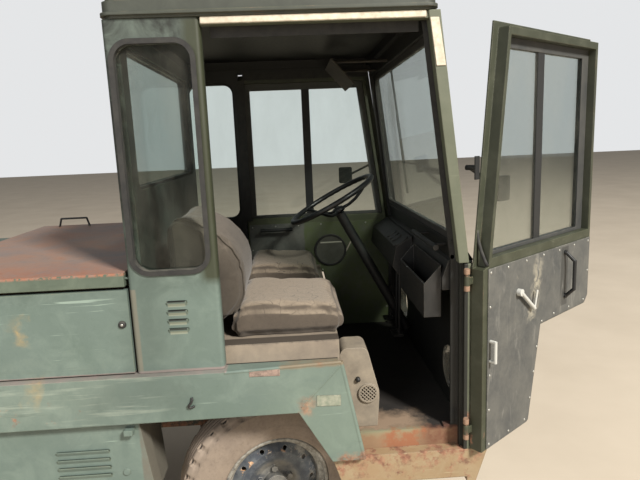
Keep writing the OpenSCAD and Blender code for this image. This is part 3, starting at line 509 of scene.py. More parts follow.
def tyre_rubber(name, centre):
    """Rubber with brown dust on the sidewall and dark grooves, round one wheel's centre."""
    m = Mat(name)
    y, r = wheel_place(m, name, centre)
    n = m.noise(7, 6, 0.7)
    fine = m.noise(90, 5, 0.7)
    col = m.mix(m.step(n, 0.35, 0.65), srgb(112, 100, 89), srgb(130, 117, 103))
    col = m.mix(m.times(m.step(fine, 0.5, 0.75), 0.4), col, srgb(70, 62, 56))
    col = m.mix(m.times(m.step(r, 0.336, 0.344), 0.6), col, srgb(146, 132, 118))
    groove = m.times(m.step(r, 0.3555, 0.3525), m.step(m.math("ABSOLUTE", y), 0.056, 0.053))
    col = m.mix(groove, col, srgb(30, 27, 25))
    col = m.mix(m.times(m.step(r, 0.205, 0.197), 0.8), col, srgb(40, 37, 34))
    rings = m.math("SINE", m.math("MULTIPLY", r, 900))
    m.set(Base_Color=col, Roughness=0.85)
    ringed = m.step(m.math("ABSOLUTE", m.math("SUBTRACT", r, 0.27)), 0.03, 0.028)
    m.bump(m.math("ADD", m.math("MULTIPLY", fine, 0.4), m.times(ringed, rings, 0.12)), 0.3, 0.002)
    return m


# Floor mat: its near-black colours deeper in the cab are painted shade on a dark mat, and the pale patch by
# the door is dust with painted sunlight; the other boxes are paint and rust by the door.
floor_m = simple("floor_mat", srgb(20, 18, 16), srgb(34, 29, 25), 12, 0.85, 0.4, masks=[
    (srgb(136, 116, 96), 0.9, dict(x=(300, 560), y=(-606, -470), z=(560, 700), soft=40, ragged=80)),
    (srgb(134, 108, 82), 0.9, dict(x=(280, 720), y=(-700, -590), z=(560, 637), soft=6, ragged=20)),
    (srgb(138, 76, 46), 0.6, dict(x=(420, 560), y=(-700, -590), z=(560, 637), soft=10, ragged=70)),
    (srgb(130, 138, 110), 0.85, dict(x=(330, 560), y=(-700, -590), z=(632, 700), soft=14, ragged=60)),
    (srgb(96, 58, 42), 0.8, dict(x=(560, 720), y=(-700, -590), z=(560, 700), soft=20, ragged=60)),
])
base_m = simple("seat_base_mat", srgb(138, 126, 110), srgb(116, 106, 94), 10, 0.75, 0.2,
                edge=srgb(170, 160, 142), masks=[
    # Near black behind the base's front face is painted shade under the seat, and the dark strip on its top
    # edge is painted shade under the cushion.
    (srgb(28, 26, 23), 0.85, dict(x=(-400, 300), y=(-560, 700), z=(560, 990), soft=10)),
    (srgb(52, 45, 38), 0.9, dict(x=(-400, 330), y=(-600, -540), z=(994.5, 1004), soft=1.5, ragged=3)),
])
black = simple("dash_mat", srgb(20, 21, 21), srgb(34, 33, 31), 14, 0.5, 0.2, edge=srgb(92, 88, 78))
wheel_black = simple("wheel_mat", srgb(16, 17, 18), srgb(30, 31, 32), 20, 0.35, 0.08, edge=srgb(64, 66, 66))
rubber = simple("rubber_mat", srgb(26, 26, 26), srgb(44, 43, 40), 30, 0.75, 0.15, dust=srgb(80, 78, 70))
heater_m = simple("heater_mat", srgb(136, 126, 110), srgb(112, 104, 92), 18, 0.7, 0.2,
                  edge=srgb(160, 150, 134))
BARE_METAL = srgb(176, 176, 170)
trim_m = simple("trim_mat", srgb(62, 64, 64), srgb(84, 84, 80), 9, 0.55, 0.2, edge=srgb(140, 138, 128),
                closed=True, masks=[
    (srgb(20, 21, 21), 1.0, dict(x=(80, 140), y=(-606, -540), z=(990, 1230), soft=1)),
    (BARE_METAL, 1.0, dict(x=(330, 500), y=(-603.8, -540), z=(1010, 1150), soft=1)),
    (BARE_METAL, 1.0, dict(x=(625, 665), y=(-603.8, -540), z=(890, 1000), soft=1)),
    (srgb(30, 31, 31), 1.0, dict(y=(-660, -640), z=(1262, 2060), soft=2)),
    (srgb(24, 25, 26), 1.0, dict(y=(-800, -660), soft=1)),
])


# Smears on the right door's board: ranges of x and z, and how much noise has to rise to show one
SMEARS = (((296, 352), (1120, 1215), 0.42), ((318, 366), (1030, 1140), 0.44), ((345, 392), (990, 1060), 0.48),
          ((400, 480), (1170, 1225), 0.56))


def worn_panel(m):
    """Pale smears and long scratches on the door's inner board."""
    p = m.closed_door()
    col = m.colour()
    blob = m.noise(16, 6, 0.7, warp=1.2)
    for x, z, lo in SMEARS:
        smear = m.times(m.zone(x, (-611, -603), z, 14, 46, 26, p), m.step(blob, lo, lo + 0.08), 0.85)
        col = m.mix(smear, col, srgb(186, 178, 156))
    streak = m.times(m.step(m.noise(26, 4, 0.7, stretch=(1, 1, 0.22), warp=0.8), 0.58, 0.68),
                     m.zone(None, (-611, -604), (560, 1250), 10, p=p))
    col = m.mix(m.times(streak, 0.5), col, srgb(150, 148, 140))
    m.set(Base_Color=col)


worn_panel(trim_m)
far_trim = simple("far_trim_mat", srgb(74, 76, 72), srgb(92, 92, 86), 9, 0.6, 0.2, masks=[
    (srgb(74, 84, 50), 0.95, dict(x=(190, 700), y=(604, 612), z=(560, 1250), soft=3, ragged=6)),
    # Darker lower part of the green sheet: painted shade.
    (srgb(58, 62, 44), 0.5, dict(x=(190, 700), y=(604, 612), z=(560, 1100), soft=60, ragged=120)),
    (srgb(26, 27, 27), 1.0, dict(x=(-80, 140), y=(540, 605), z=(1190, 1230), soft=1)),
    (srgb(168, 166, 150), 1.0, dict(x=(270, 408), y=(590, 603), z=(1115, 1129), soft=1)),
    # Near black on the door's frame beyond y 640: painted shade.
    (srgb(24, 25, 25), 1.0, dict(y=(640, 800), soft=2)),
])
visor_m = simple("visor_mat", srgb(58, 52, 44), srgb(40, 36, 32), 20, 0.7, 0.2, edge=srgb(110, 104, 92))
tail_m = simple("tail_mat", srgb(120, 20, 14), srgb(90, 14, 10), 30, 0.3, 0.1, stretch=(1, 1, 4))
silver = simple("silver_mat", BARE_METAL, srgb(140, 138, 130), 30, 0.35, 0.15, 0.6)
cream = simple("cream_foam_mat", srgb(206, 198, 180), srgb(170, 160, 142), 40, 0.9, 0.5, masks=[
    (srgb(110, 104, 92), 0.8, dict(z=(2020, 2080), y=(-652, -630), x=(-200, -40), soft=50, ragged=80))])
blank = simple("blank_plate_mat", srgb(146, 146, 130), srgb(108, 116, 100), 40, 0.7, 0.1,
               edge=srgb(84, 84, 72))
label = simple("blank_label_mat", srgb(150, 128, 116), srgb(96, 84, 76), 60, 0.8, 0.2,
               edge=srgb(182, 160, 146))


def cloth(name, paler_tone, deep):
    """Worn woven seat cloth, paler where it faces up, from dust and painted light on the tops, with fine
    cracks near the front.
    """
    m = Mat(name)
    n = m.noise(5, 6, 0.7)
    fine = m.noise(90, 5, 0.7)
    bands = {"wave_type": "BANDS", "bands_direction": "DIAGONAL"}
    weave = m.add("TexWave", 0, bands, Vector=m.p, Scale=420.0, Distortion=1.5)
    up = m.xyz(m.n)[2]
    col = m.mix(m.step(n, 0.35, 0.65), deep, shade(deep, 1.35))
    # Faces that look up turn to the paler colour: dust, and painted light on the tops.
    col = m.mix(m.times(m.step(m.math("ADD", up, m.math("MULTIPLY", n, 0.5)), 0.7, 1.15), 0.9), col, paler_tone)
    col = m.mix(m.times(m.step(fine, 0.5, 0.72), 0.35), col, shade(deep, 0.5))
    drawn_out = m.add("Mapping", Vector=m.p, Scale=(1, 1.6, 1))
    crack = m.step(m.voronoi(17, "DISTANCE_TO_EDGE", drawn_out), 0.018, 0.006)
    torn = m.times(crack, m.step(m.noise(3, 3, shift=(4, 0, 0)), 0.45, 0.6), m.step(up, 0.3, 0.7))
    col = m.mix(m.times(torn, 0.8), col, srgb(34, 28, 24))
    m.set(Base_Color=col, Roughness=0.92, Sheen_Weight=0.15)
    worn = m.math("SUBTRACT", m.math("MULTIPLY", fine, 0.6), torn)
    m.bump(m.math("ADD", m.math("MULTIPLY", weave, 0.15), worn), 0.35, 0.002)
    return m


seat_m = cloth("seat_mat", srgb(134, 121, 104), srgb(70, 62, 53))
back_m = cloth("backrest_mat", srgb(92, 83, 72), srgb(60, 54, 46))


def glass(name, tint=(0.86, 0.9, 0.88), dust=0.06, haze=()):
    """Clear glass with a film of dust; haze lists strengths and boxes of more of it."""
    m = Mat(name)
    nt = m.nt
    smear = m.step(m.noise(6, 6, 0.65, stretch=(1, 1, 0.5)), 0.35, 0.8)
    amount = m.math("MULTIPLY", smear, dust)
    for strength, box in haze:
        film = m.step(m.noise(5, 4, stretch=(1, 1, 0.4)), 0.3, 0.6)
        amount = m.math("ADD", amount, m.times(m.zone(**box), film, strength))
    clear = m.add("BsdfTransparent", Color=(*tint, 1))
    paler_tone = m.add("BsdfDiffuse", Color=(*srgb(190, 185, 170), 1))
    gloss = m.add("BsdfGlossy", Roughness=0.03)
    fres = m.add("Fresnel", IOR=1.45)
    a = m.add("MixShader", i0=amount, i1=clear, i2=paler_tone)
    b = m.add("MixShader", i0=m.math("MULTIPLY", fres, 0.5), i1=a, i2=gloss)
    nt.links.new(b, nt.nodes["Material Output"].inputs["Surface"])
    return m


glass_m = glass("glass_mat", haze=[
    (0.22, dict(x=(560, 760), y=(60, 620), z=(1330, 2010), soft=120, ragged=200))])
lamp_m = glass("lamp_mat", (0.9, 0.9, 0.88), 0.4)

slots = {"frame_paint": frame_m, "axle_iron": iron, "spring_steel": steel, "engine_iron": iron,
         "floor_steel": floor_m, "seat_base_paint": base_m, "body_paint": green,
         "post_paint": olive, "bumper_paint": bumper, "lid_paint": lid, "coupling_steel": steel,
         "window_glass": glass_m, "window_rubber": rubber, "dash_plastic": black,
         "wheel_plastic": wheel_black, "control_metal": black, "seat_fabric": seat_m,
         "heater_paint": heater_m, "door_trim": trim_m, "visor_board": visor_m,
         "wiper_metal": rubber, "lamp_glass": lamp_m, "tail_lens": tail_m}
special = {"roof": roof_m, "door_right": door_paint, "door_left": far_door, "door_fittings_left": far_trim}
for part in frame["record"]["subparts"]:
    name = part["node"]
    if name.startswith("rim_") or name.startswith("tyre_"):
        lo, hi = (Vector(v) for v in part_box(name))
        make = rim_paint if name.startswith("rim_") else tyre_rubber
        made = make(name + "_mat", (lo + hi) / 2)
        slots[name] = made
        assign(made, name)
    else:
        assign(special.get(name) or slots[part["material_slot"]], name)
board = simple("grey_board_mat", srgb(84, 84, 76), srgb(66, 66, 58), 12, 0.8, 0.2)


# Geometry

def mesh_object(name, verts, faces, mat, body="body", slot=None, smooth=False, replaces=()):
    me = bpy.data.meshes.new(name)
    me.from_pydata([tuple(v) for v in verts], [], faces)
    bm = bmesh.new()
    bm.from_mesh(me)
    bmesh.ops.recalc_face_normals(bm, faces=bm.faces)
    bm.to_mesh(me)
    bm.free()
    me.materials.append(mat.m)
    me.polygons.foreach_set("use_smooth", [smooth] * len(me.polygons))
    ob = bpy.data.objects.new(name, me)
    scene.collection.objects.link(ob)
    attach(ob, body)
    if replaces:
        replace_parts(ob, *replaces)
    return ob


def rounded(ob, width, segments=2):
    """Bevel a piece's edges in its mesh."""
    bm = bmesh.new()
    bm.from_mesh(ob.data)
    sharp = [e for e in bm.edges if len(e.link_faces) == 2 and e.calc_face_angle(0) > 0.5]
    bmesh.ops.bevel(bm, geom=sharp, offset=width, segments=segments, affect="EDGES", clamp_overlap=True)
    bm.to_mesh(ob.data)
    bm.free()
    return ob


def prism(name, outline, lo, hi, mat, body="body", slot=None, round_by=0.001):
    """A plate from an outline of x and z in millimetres, between two places across."""
    verts = [D(x, y, z) for y in (lo, hi) for x, z in outline]
    n = len(outline)
    faces = [tuple(range(n)), tuple(range(n, 2 * n))]
    faces += [(i, (i + 1) % n, n + (i + 1) % n, n + i) for i in range(n)]
    ob = mesh_object(name, verts, faces, mat, body, slot)
    return rounded(ob, round_by) if round_by else ob


def tube(name, path, radius, mat, body="body", slot=None, sides=10):
    """A round tube of even thickness along points in metres."""
    path = [Vector(p) for p in path]
    verts, faces = [], []
    ref = None
    for i, p in enumerate(path):
        t = (path[min(i + 1, len(path) - 1)] - path[max(i - 1, 0)]).normalized()
        if ref is None:
            ref = t.orthogonal().normalized()
        ref = (ref - t * ref.dot(t)).normalized()
        other = t.cross(ref)
        for k in range(sides):
            a = 2 * math.pi * k / sides
            verts.append(p + (ref * math.cos(a) + other * math.sin(a)) * radius)
    for i in range(len(path) - 1):
        for k in range(sides):
            a, b = i * sides + k, i * sides + (k + 1) % sides
            faces.append((a, b, b + sides, a + sides))
    faces.append(tuple(range(sides)))
    faces.append(tuple(range(len(verts) - sides, len(verts))))
    return mesh_object(name, verts, faces, mat, body, slot, smooth=True)


def lathe(name, profile, centre, axis, mat, body="body", slot=None, sides=24):
    """A turned piece: profile holds radius and height pairs in metres, from one end to the other."""
    axis = Vector(axis).normalized()
    u = axis.orthogonal().normalized()
    v = axis.cross(u)
    verts, faces, rings = [], [], []
    for r, h in profile:
        if r < 1e-6:
            rings.append([len(verts)])
            verts.append(centre + axis * h)
        else:
            rings.append(list(range(len(verts), len(verts) + sides)))
            for k in range(sides):
                a = 2 * math.pi * k / sides
                verts.append(centre + axis * h + (u * math.cos(a) + v * math.sin(a)) * r)
    for a, b in zip(rings, rings[1:]):
        for k in range(sides):
            k2 = (k + 1) % sides
            if len(a) == 1:
                faces.append((a[0], b[k], b[k2]))
            elif len(b) == 1:
                faces.append((a[k], a[k2], b[0]))
            else:
                faces.append((a[k], a[k2], b[k2], b[k]))
    return mesh_object(name, verts, faces, mat, body, slot, smooth=True)


def join(name, obs):
    """One object from several that ride together."""
    bm = bmesh.new()
    for ob in obs:
        bm.from_mesh(ob.data)
    bm.to_mesh(obs[0].data)
    bm.free()
    for ob in obs[1:]:
        bpy.data.objects.remove(ob, do_unlink=True)
    obs[0].name = name
    return obs[0]


# Tyres

# Radius and half width of the tyre's outside, from the rim's seat to the middle of the tread
TYRE_WALL = [(201, 60), (201.4, 65.6), (209.6, 69.4), (210, 74), (215, 80), (254, 86), (285, 86),
             (315, 84), (335, 78.5), (346, 72), (353, 65), (358, 59), (360, 52), (360, 0)]
TYRE_INSIDE = [(201, -60), (207, -56), (207, 56)]
TREAD_GROOVES = (12, 34)
# Raised rings on the sidewall: radius and height
WALL_RINGS = ((326, 1.6), (262, 1.2), (228, 1.4))
TYRE_SEGMENTS = 216


def tread(r, w, lug):
    """Radius and place across, in millimetres, of a point of the tyre with its grooves, lugs and rings."""
    dr, dw = 0.0, 0.0
    outward = 1 if w > 0 else -1
    aw = abs(w)
    if r > 352 and min(abs(aw - groove) for groove in TREAD_GROOVES) < 3.2:
        dr = -6.0
    if lug and r > 330 and aw > 46:
        dr = -8.0 if r > 350 else -5.0
        dw = -4.0 * outward if r < 357 else 0
    for ring, height in WALL_RINGS:
        if abs(r - ring) < 2.6 and aw > 60:
            dw += height * outward
    return r + dr, w + dw


def tyre(node, body):
    """A tyre with tread, in place of the plain one."""
    lo, hi = (Vector(v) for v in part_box(node))
    c = (lo + hi) / 2
    turn = Matrix.Rotation(math.radians(STEER) if "front" in node else 0.0, 3, "Z")
    fine = []
    for (r0, w0), (r1, w1) in zip(TYRE_WALL, TYRE_WALL[1:]):
        n = max(1, int(math.hypot(r1 - r0, w1 - w0) / (3.4 if r0 > 340 else 5.0)))
        fine += [(r0 + (r1 - r0) * i / n, w0 + (w1 - w0) * i / n) for i in range(n)]
    profile = fine + [(r, -w) for r, w in reversed(fine)] + TYRE_INSIDE
    verts, faces = [], []
    for j in range(TYRE_SEGMENTS):
        a = 2 * math.pi * j / TYRE_SEGMENTS
        for r, w in profile:
            out, across = tread(r, w, j % 6 in (0, 1))
            rr = out / 1000
            verts.append(c + turn @ Vector((math.cos(a) * rr, across / 1000, math.sin(a) * rr)))
    n = len(profile)
    for j in range(TYRE_SEGMENTS):
        k = (j + 1) % TYRE_SEGMENTS
        for i in range(n):
            i2 = (i + 1) % n
            faces.append((j * n + i, j * n + i2, k * n + i2, k * n + i))
    ob = mesh_object(node + "_tread", verts, faces, slots[node], body, "tyre", True, (node,))
    ob.data.set_sharp_from_angle(angle=math.radians(32))


# Cushions

VOXEL = 0.008
SOFT_CORNER = 0.036
CLOTH_FRAMES = 20


def cushion(name, outline, y0, y1, shrink, mat, cap, floor=None):
    """A padded form blown up by cloth pressure from a smaller copy of its outline in the XZ plane."""
    cx = sum(x for x, z in outline) / len(outline)
    cz = sum(z for x, z in outline) / len(outline)
    pts = []
    for x, z in outline:
        d = math.hypot(x - cx, z - cz)
        pts.append((x + (cx - x) * shrink / d, z + (cz - z) * shrink / d))
    ob = prism(name, pts, y0 + shrink, y1 - shrink, mat, "body", "seat_fabric", 0)
    rounded(ob, SOFT_CORNER, 5)
    bpy.context.view_layer.objects.active = ob
    mod = ob.modifiers.new("remesh", "REMESH")
    mod.mode = "VOXEL"
    mod.voxel_size = VOXEL
    mod.use_smooth_shade = True
    apply(ob)
    start = [v.co.copy() for v in ob.data.vertices]
    mod = ob.modifiers.new("cloth", "CLOTH")
    st = mod.settings
    st.use_pressure = True
    st.uniform_pressure_force = 5.0
    st.effector_weights.gravity = 0.0
    st.quality = 5
    st.tension_stiffness = 15
    st.compression_stiffness = 15
    st.bending_stiffness = 4.0
    mod.point_cache.frame_start = 1
    mod.point_cache.frame_end = CLOTH_FRAMES
    for f in range(1, CLOTH_FRAMES + 1):
        scene.frame_set(f)
    apply(ob)
    scene.frame_set(1)
    for v, s in zip(ob.data.vertices, start):
        move = (v.co - s) * 0.7
        v.co = s + move * min(1.0, cap / max(move.length, 1e-9))
        if floor is not None and v.co.z < floor:
            v.co.z = floor
    return ob


def apply(ob):
    dg = bpy.context.evaluated_depsgraph_get()
    me = bpy.data.meshes.new_from_object(ob.evaluated_get(dg))
    ob.modifiers.clear()
    old = ob.data
    ob.data = me
    me.name = old.name + "_done"
    bpy.data.meshes.remove(old)


# Pieces

SEAT_TOP = 998.3
# Side views of the passenger's pads: x and z
CUSHION = [(-120, 998.6), (296, 998.6), (311, 1040), (305, 1080), (250, 1097), (139, 1104), (4, 1113),
           (-60, 1112), (-106, 1098), (-126, 1060)]
BACKREST = [(-322, 1060), (-114, 1060), (-92, 1085), (-68, 1112), (-52, 1150), (-47, 1190), (-47, 1235),
            (-58, 1285), (-88, 1336), (-130, 1380), (-180, 1410), (-235, 1440), (-285, 1454), (-312, 1430)]
CUSHION_RIGHT = -554
CUSHION_LEFT = -98
BACK_RIGHT = -545
BACK_LEFT = -105
SEAM = 16
# The driver's pads are smaller copies: the corner that stays, and scales along x and z
DRIVER_SHIFT = 0.65
DRIVER_CUSHION = (CUSHION[0], 0.87, 0.96)
DRIVER_BACKREST = (BACKREST[0], 0.64, 0.66)


def snapped(ob, path, lift):
    """Points moved onto the nearest place of a piece's surface."""
    faces = [tuple(face.vertices) for face in ob.data.polygons]
    tree = BVHTree.FromPolygons([v.co.copy() for v in ob.data.vertices], faces)
    out = []
    for p in path:
        place, normal, _, _ = tree.find_nearest(Vector(p))
        out.append(place + normal * lift)
    return out


def along(points, step):
    """Points closer together along a line."""
    out = []
    for a, b in zip(points, points[1:]):
        n = max(1, int((b - a).length / step))
        out += [a + (b - a) * i / n for i in range(n)]
    return out + [points[-1]]


def seats():
    """Both seats' pads with piping on the backrests; the driver's are made from the passenger's."""
    base = SEAT_TOP / 1000 + GROUND_Z
    pad = cushion("passenger_cushion", CUSHION, CUSHION_RIGHT, CUSHION_LEFT, 2, seat_m, 0.012, base)
    back = cushion("passenger_backrest", BACKREST, BACK_RIGHT, BACK_LEFT, 6, back_m, 0.010)
    for side, y in (("outer", BACK_RIGHT + SEAM), ("inner", BACK_LEFT - SEAM)):
        path = snapped(back, along([D(x, y, z) for x, z in BACKREST[2:-1]], 0.012), 0.0015)
        tube("passenger_backrest_piping_" + side, path, 0.0034, back_m, "body", "seat_fabric", 8)
    for ob in (pad, back):
        subdivide(ob)
        finish_soft(ob, "passenger_seat")
    for ob in [o for o in scene.objects if o.name.startswith("passenger_") and o.name not in nodes]:
        twin = ob.copy()
        twin.data = ob.data.copy()
        twin.name = ob.name.replace("passenger", "driver")
        twin.data.transform(Matrix.Translation((0, DRIVER_SHIFT, 0)))
        (x, z), along_x, along_z = DRIVER_BACKREST if "backrest" in twin.name else DRIVER_CUSHION
        corner = D(x, 0, z)
        for v in twin.data.vertices:
            v.co.x = corner.x + (v.co.x - corner.x) * along_x
            v.co.z = corner.z + (v.co.z - corner.z) * along_z
        scene.collection.objects.link(twin)
        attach(twin, "body")
        if "piping" not in twin.name:
            finish_soft(twin, "driver_seat")


def subdivide(ob):
    bm = bmesh.new()
    bm.from_mesh(ob.data)
    bmesh.ops.smooth_vert(bm, verts=bm.verts, factor=0.4, use_axis_x=True, use_axis_y=True, use_axis_z=True)
    bm.to_mesh(ob.data)
    bm.free()
    mod = ob.modifiers.new("subdivision", "SUBSURF")
    mod.levels = mod.render_levels = 1
    apply(ob)
    ob.data.polygons.foreach_set("use_smooth", [True] * len(ob.data.polygons))


def finish_soft(ob, node):
    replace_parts(ob, node)


seats()
for end in ("front", "rear"):
    for side in ("left", "right"):
        tyre(f"tyre_{end}_{side}", f"{end}_wheel_{side}")


def post_edge(z):
    """X of a windscreen post's rear edge."""
    return 582 + (2069 - z) * 0.1187


# Y of the seals, the engine doors' locks, the door boards and the right skirt's face
SEAL_Y = (597, 603)
LOCK_Y = 645
BOARD_Y = 606
SKIRT_Y = -673.1
SCREW = [(0.0, 0.0028), (0.0025, 0.0026), (0.0048, 0.001), (0.005, 0.0), (0.0, 0.0)]
# Screws round a door's board: x and z with the door shut
SCREW_SPOTS = [(-95, 1224), (32, 1225), (158, 1223), (284, 1226), (410, 1225), (534, 1224), (643, 1224),
               (-100, 1096), (-72, 973), (60, 971), (188, 973), (284, 966), (318, 872), (338, 776),
               (360, 676), (398, 600), (512, 599), (643, 600), (645, 730), (644, 858), (645, 1104)]


def seals():
    """Rubber round the door openings, and the foam strips left on the right one."""
    foot, head = post_edge(1264), post_edge(2045)
    post = [(foot - 15, 1264), (foot + 20, 1264), (head + 20, 2045), (head - 15, 2045)]
    over = [(-100, 2012), (560, 2012), (560, 2052), (-100, 2052)]
    for side, word in ((-1, "right"), (1, "left")):
        lo, hi = (side * y for y in SEAL_Y)
        prism("post_seal_" + word, post, lo, hi, rubber, slot="window_rubber")
        prism("head_seal_" + word, over, lo, hi, rubber, slot="window_rubber")
    rear = [(-134, 1262), (-92, 1262), (-92, 2012), (-134, 2012)]
    prism("rear_seal_left", rear, *SEAL_Y, rubber, slot="window_rubber")
    strip = [(-123, 2047), (575, 2047), (575, 2068), (-123, 2068)]
    prism("head_foam", strip, -640.2, -647, cream, slot="window_rubber", round_by=0.002)
    down = [(586, 2046), (606, 1900), (636, 1900), (614, 2046)]
    prism("post_foam", down, -645.2, -648.5, cream, slot="window_rubber", round_by=0.001)


def skirt_parts():
    """The bare plate, the bare label and the small hook on the right skirt."""
    plate = [(180, 788), (263, 786), (264, 826), (181, 829)]
    prism("blank_plate", plate, SKIRT_Y, SKIRT_Y - 1.3, blank, slot="body_paint", round_by=0.0004)
    tag = [(-43, 910), (60, 908), (61, 932), (-43, 935)]
    prism("blank_label", tag, SKIRT_Y, SKIRT_Y - 0.9, label, slot="body_paint", round_by=0)
    hook = [D(-240, -675, 850), D(-238, -679, 842), D(-243, -681, 832), D(-251, -681, 824),
            D(-250, -680, 817), D(-242, -678, 815), D(-232, -675, 819)]
    tube("skirt_hook", along(hook, 0.004), 0.0042, black, slot="window_rubber")


def locks():
    """A lock with its rubber ring on each engine door."""
    ring = [(0.0055, 0.008), (0.009, 0.0075), (0.012, 0.0045), (0.0135, 0.0), (0.0055, 0.0), (0.0055, 0.008)]
    core = [(0.0, 0.0085), (0.004, 0.008), (0.0052, 0.006), (0.0052, 0.0), (0.0, 0.0)]
    for side, word in ((-1, "right"), (1, "left")):
        place = D(-452, side * LOCK_Y, 1109)
        body = "engine_door_" + word
        lathe("engine_door_lock_ring_" + word, ring, place, (0, side, 0), rubber, body, "window_rubber", 24)
        lathe("engine_door_lock_" + word, core, place, (0, side, 0), silver, body, "door_trim", 20)


def door_screws():
    """One object of screws on each door's board. The right door stands open at rest."""
    inward = door_turn() @ Vector((0, 1, 0))
    right, left = [], []
    for i, (x, z) in enumerate(SCREW_SPOTS):
        place = DR(x, -BOARD_Y, z)
        right.append(lathe(f"screw_{i}", SCREW, place, inward, silver, "door_right", "door_trim", 10))
    join("door_panel_screws_right", right)
    for i, (x, z) in enumerate(SCREW_SPOTS):
        place = D(x, BOARD_Y, z)
        left.append(lathe(f"far_screw_{i}", SCREW, place, (0, -1, 0), silver, "door_left", "door_trim", 10))
    join("door_panel_screws_left", left)


def loose_parts():
    """The torn strip of rubber that hangs on the right door, and the heater's knob."""
    hang = [DR(655, -655, 1365), DR(656, -648, 1330), DR(657, -636, 1296), DR(657, -620, 1262),
            DR(657, -612, 1249)]
    tube("hanging_gasket", along(hang, 0.01), 0.006, rubber, "door_right", "window_rubber")
    knob = [(0.0, 0.014), (0.006, 0.013), (0.009, 0.009), (0.0095, 0.0), (0.0, 0.0)]
    lathe("heater_knob", knob, D(336, -560, 827), (0, -1, 0), black, slot="dash_plastic", sides=20)


RECESS_X = 332
RECESS_Z = 1079
RECESS_R = 80


def far_door_hole():
    """The round recess in the left door's board: grey board inside a dark ring, and beside it a pale slit,
    painted light seen through a slot.
    """
    angles = [2 * math.pi * i / 48 for i in range(48)]
    disc = [(RECESS_X + RECESS_R * math.cos(a), RECESS_Z + RECESS_R * math.sin(a)) for a in angles]
    prism("far_door_recess", disc, 599.5, 601.5, board, "door_left", "door_trim", 0)
    ring = [(0.078, 0.0), (0.078, 0.0035), (0.081, 0.005), (0.087, 0.005), (0.09, 0.0035), (0.09, 0.0),
            (0.078, 0.0)]
    centre = D(RECESS_X, 602, RECESS_Z)
    lathe("far_door_ring", ring, centre, (0, -1, 0), rubber, "door_left", "window_rubber", 64)
    # The pale slit is painted light seen through a slot in the board.
    slit = [(402, 1040), (410, 1044), (454, 1124), (447, 1124)]
    prism("far_door_slit_painted_light", slit, 600, 605.5, cream, "door_left", "window_rubber", 0.0005)


RIM_SEGMENTS = 144
RIM_SIDES = 14
SPOKE_ANGLES = (8, 128, 248)
HUB = [(0.0, -0.048), (0.018, -0.048), (0.029, -0.053), (0.033, -0.062), (0.033, -0.074), (0.0, -0.074)]


def steering_wheel():
    """Dished three-spoke wheel with finger ridges under its rim."""
    tilt = math.radians(STEER_TILT)
    forward = Vector((math.cos(tilt), 0, math.sin(tilt)))
    left = Vector((0, 1, 0))
    axis = Vector((-math.sin(tilt), 0, math.cos(tilt)))
    centre = D(*STEER_CENTRE)
    big = STEER_D / 2000 - 0.013
    verts, faces = [], []
    for i in range(RIM_SEGMENTS):
        a = 2 * math.pi * i / RIM_SEGMENTS
        out = forward * math.cos(a) + left * math.sin(a)
        for k in range(RIM_SIDES):
            b = 2 * math.pi * k / RIM_SIDES
            under = max(0.0, -math.sin(b) * 0.6 - math.cos(b) * 0.6)
            thick = 0.0128 - 0.0018 * under * (i % 4 in (0, 1))
            verts.append(centre + out * (big + thick * math.cos(b)) + axis * thick * math.sin(b))
    for i in range(RIM_SEGMENTS):
        j = (i + 1) % RIM_SEGMENTS
        for k in range(RIM_SIDES):
            m = (k + 1) % RIM_SIDES
            faces.append((i * RIM_SIDES + k, j * RIM_SIDES + k, j * RIM_SIDES + m, i * RIM_SIDES + m))
    made = (wheel_black, "steering_wheel", "wheel_plastic")
    parts = [mesh_object("steering_rim", verts, faces, *made, True)]
    parts.append(lathe("steering_hub", HUB, centre, axis, *made, 32))
    # Distance from the axis and height along it, from hub to rim
    spoke = ((0.024, -0.064), (0.06, -0.066), (0.105, -0.058), (0.15, -0.04), (0.19, -0.018),
             (big - 0.002, -0.002))
    for angle in SPOKE_ANGLES:
        a = math.radians(angle)
        out = forward * math.cos(a) + left * math.sin(a)
        path = [centre + out * r + axis * h for r, h in spoke]
        parts.append(tube(f"spoke_{angle}", along(path, 0.01), 0.0078, *made, 12))
    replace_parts(join("steering_wheel_grip", parts), "steering_wheel")


seals()
skirt_parts()
locks()
door_screws()
loose_parts()
far_door_hole()
steering_wheel()


# Floor and light

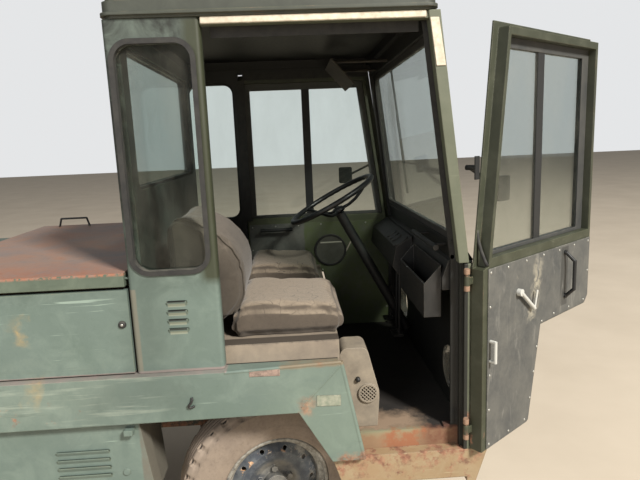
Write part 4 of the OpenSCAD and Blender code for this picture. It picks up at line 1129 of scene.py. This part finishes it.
FLOOR_HALF = 40
AMBIENT = 0.34
KEY_PLACE = (11.3, -12.5, 12.75)
FILL_PLACE = (-2.5, -6.0, 3.5)


def stage_plane(name, half, mat):
    """A square floor under the tug, reaching half its side each way."""
    me = bpy.data.meshes.new(name)
    corners = [(-half, -half, 0), (half, -half, 0), (half, half, 0), (-half, half, 0)]
    me.from_pydata(corners, [], [(0, 1, 2, 3)])
    me.materials.append(mat)
    ob = bpy.data.objects.new(name, me)
    ob.location = (1.7, 0, GROUND_Z)
    scene.collection.objects.link(ob)


ground = Mat("ground_mat", Roughness=0.9)
clouds = ground.step(ground.noise(1.2, 4), 0.3, 0.7)
ground.set(Base_Color=ground.mix(clouds, srgb(184, 172, 154), srgb(194, 182, 164)))
stage_plane("floor_plane", FLOOR_HALF, ground.m)

world = bpy.data.worlds.new("world")
scene.world = world
world.use_nodes = True
wn = world.node_tree
bg = wn.nodes["Background"]
bg.inputs[0].default_value = (0.86, 0.87, 0.88, 1)
bg.inputs[1].default_value = AMBIENT
seen = wn.nodes.new("ShaderNodeBackground")
seen.inputs[0].default_value = (0.78, 0.79, 0.8, 1)
seen.inputs[1].default_value = 1.0
path = wn.nodes.new("ShaderNodeLightPath")
either = wn.nodes.new("ShaderNodeMixShader")
wn.links.new(path.outputs["Is Camera Ray"], either.inputs[0])
wn.links.new(bg.outputs[0], either.inputs[1])
wn.links.new(seen.outputs[0], either.inputs[2])
wn.links.new(either.outputs[0], wn.nodes["World Output"].inputs[0])


def area(name, loc, aim, size, power, color=(1, 1, 1)):
    """A soft square lamp at loc that points at aim."""
    data = bpy.data.lights.new(name, "AREA")
    data.size = size
    data.energy = power
    data.color = color
    ob = bpy.data.objects.new(name, data)
    ob.location = loc
    ob.rotation_euler = (Vector(aim) - Vector(loc)).to_track_quat("-Z", "Y").to_euler()
    scene.collection.objects.link(ob)


area("key", KEY_PLACE, (1.8, 0, 0.5), 3.0, 7600, (1.0, 0.96, 0.9))
area("fill", FILL_PLACE, (1.5, 0, 0.6), 4.0, 200)

scene.view_settings.view_transform = "Standard"
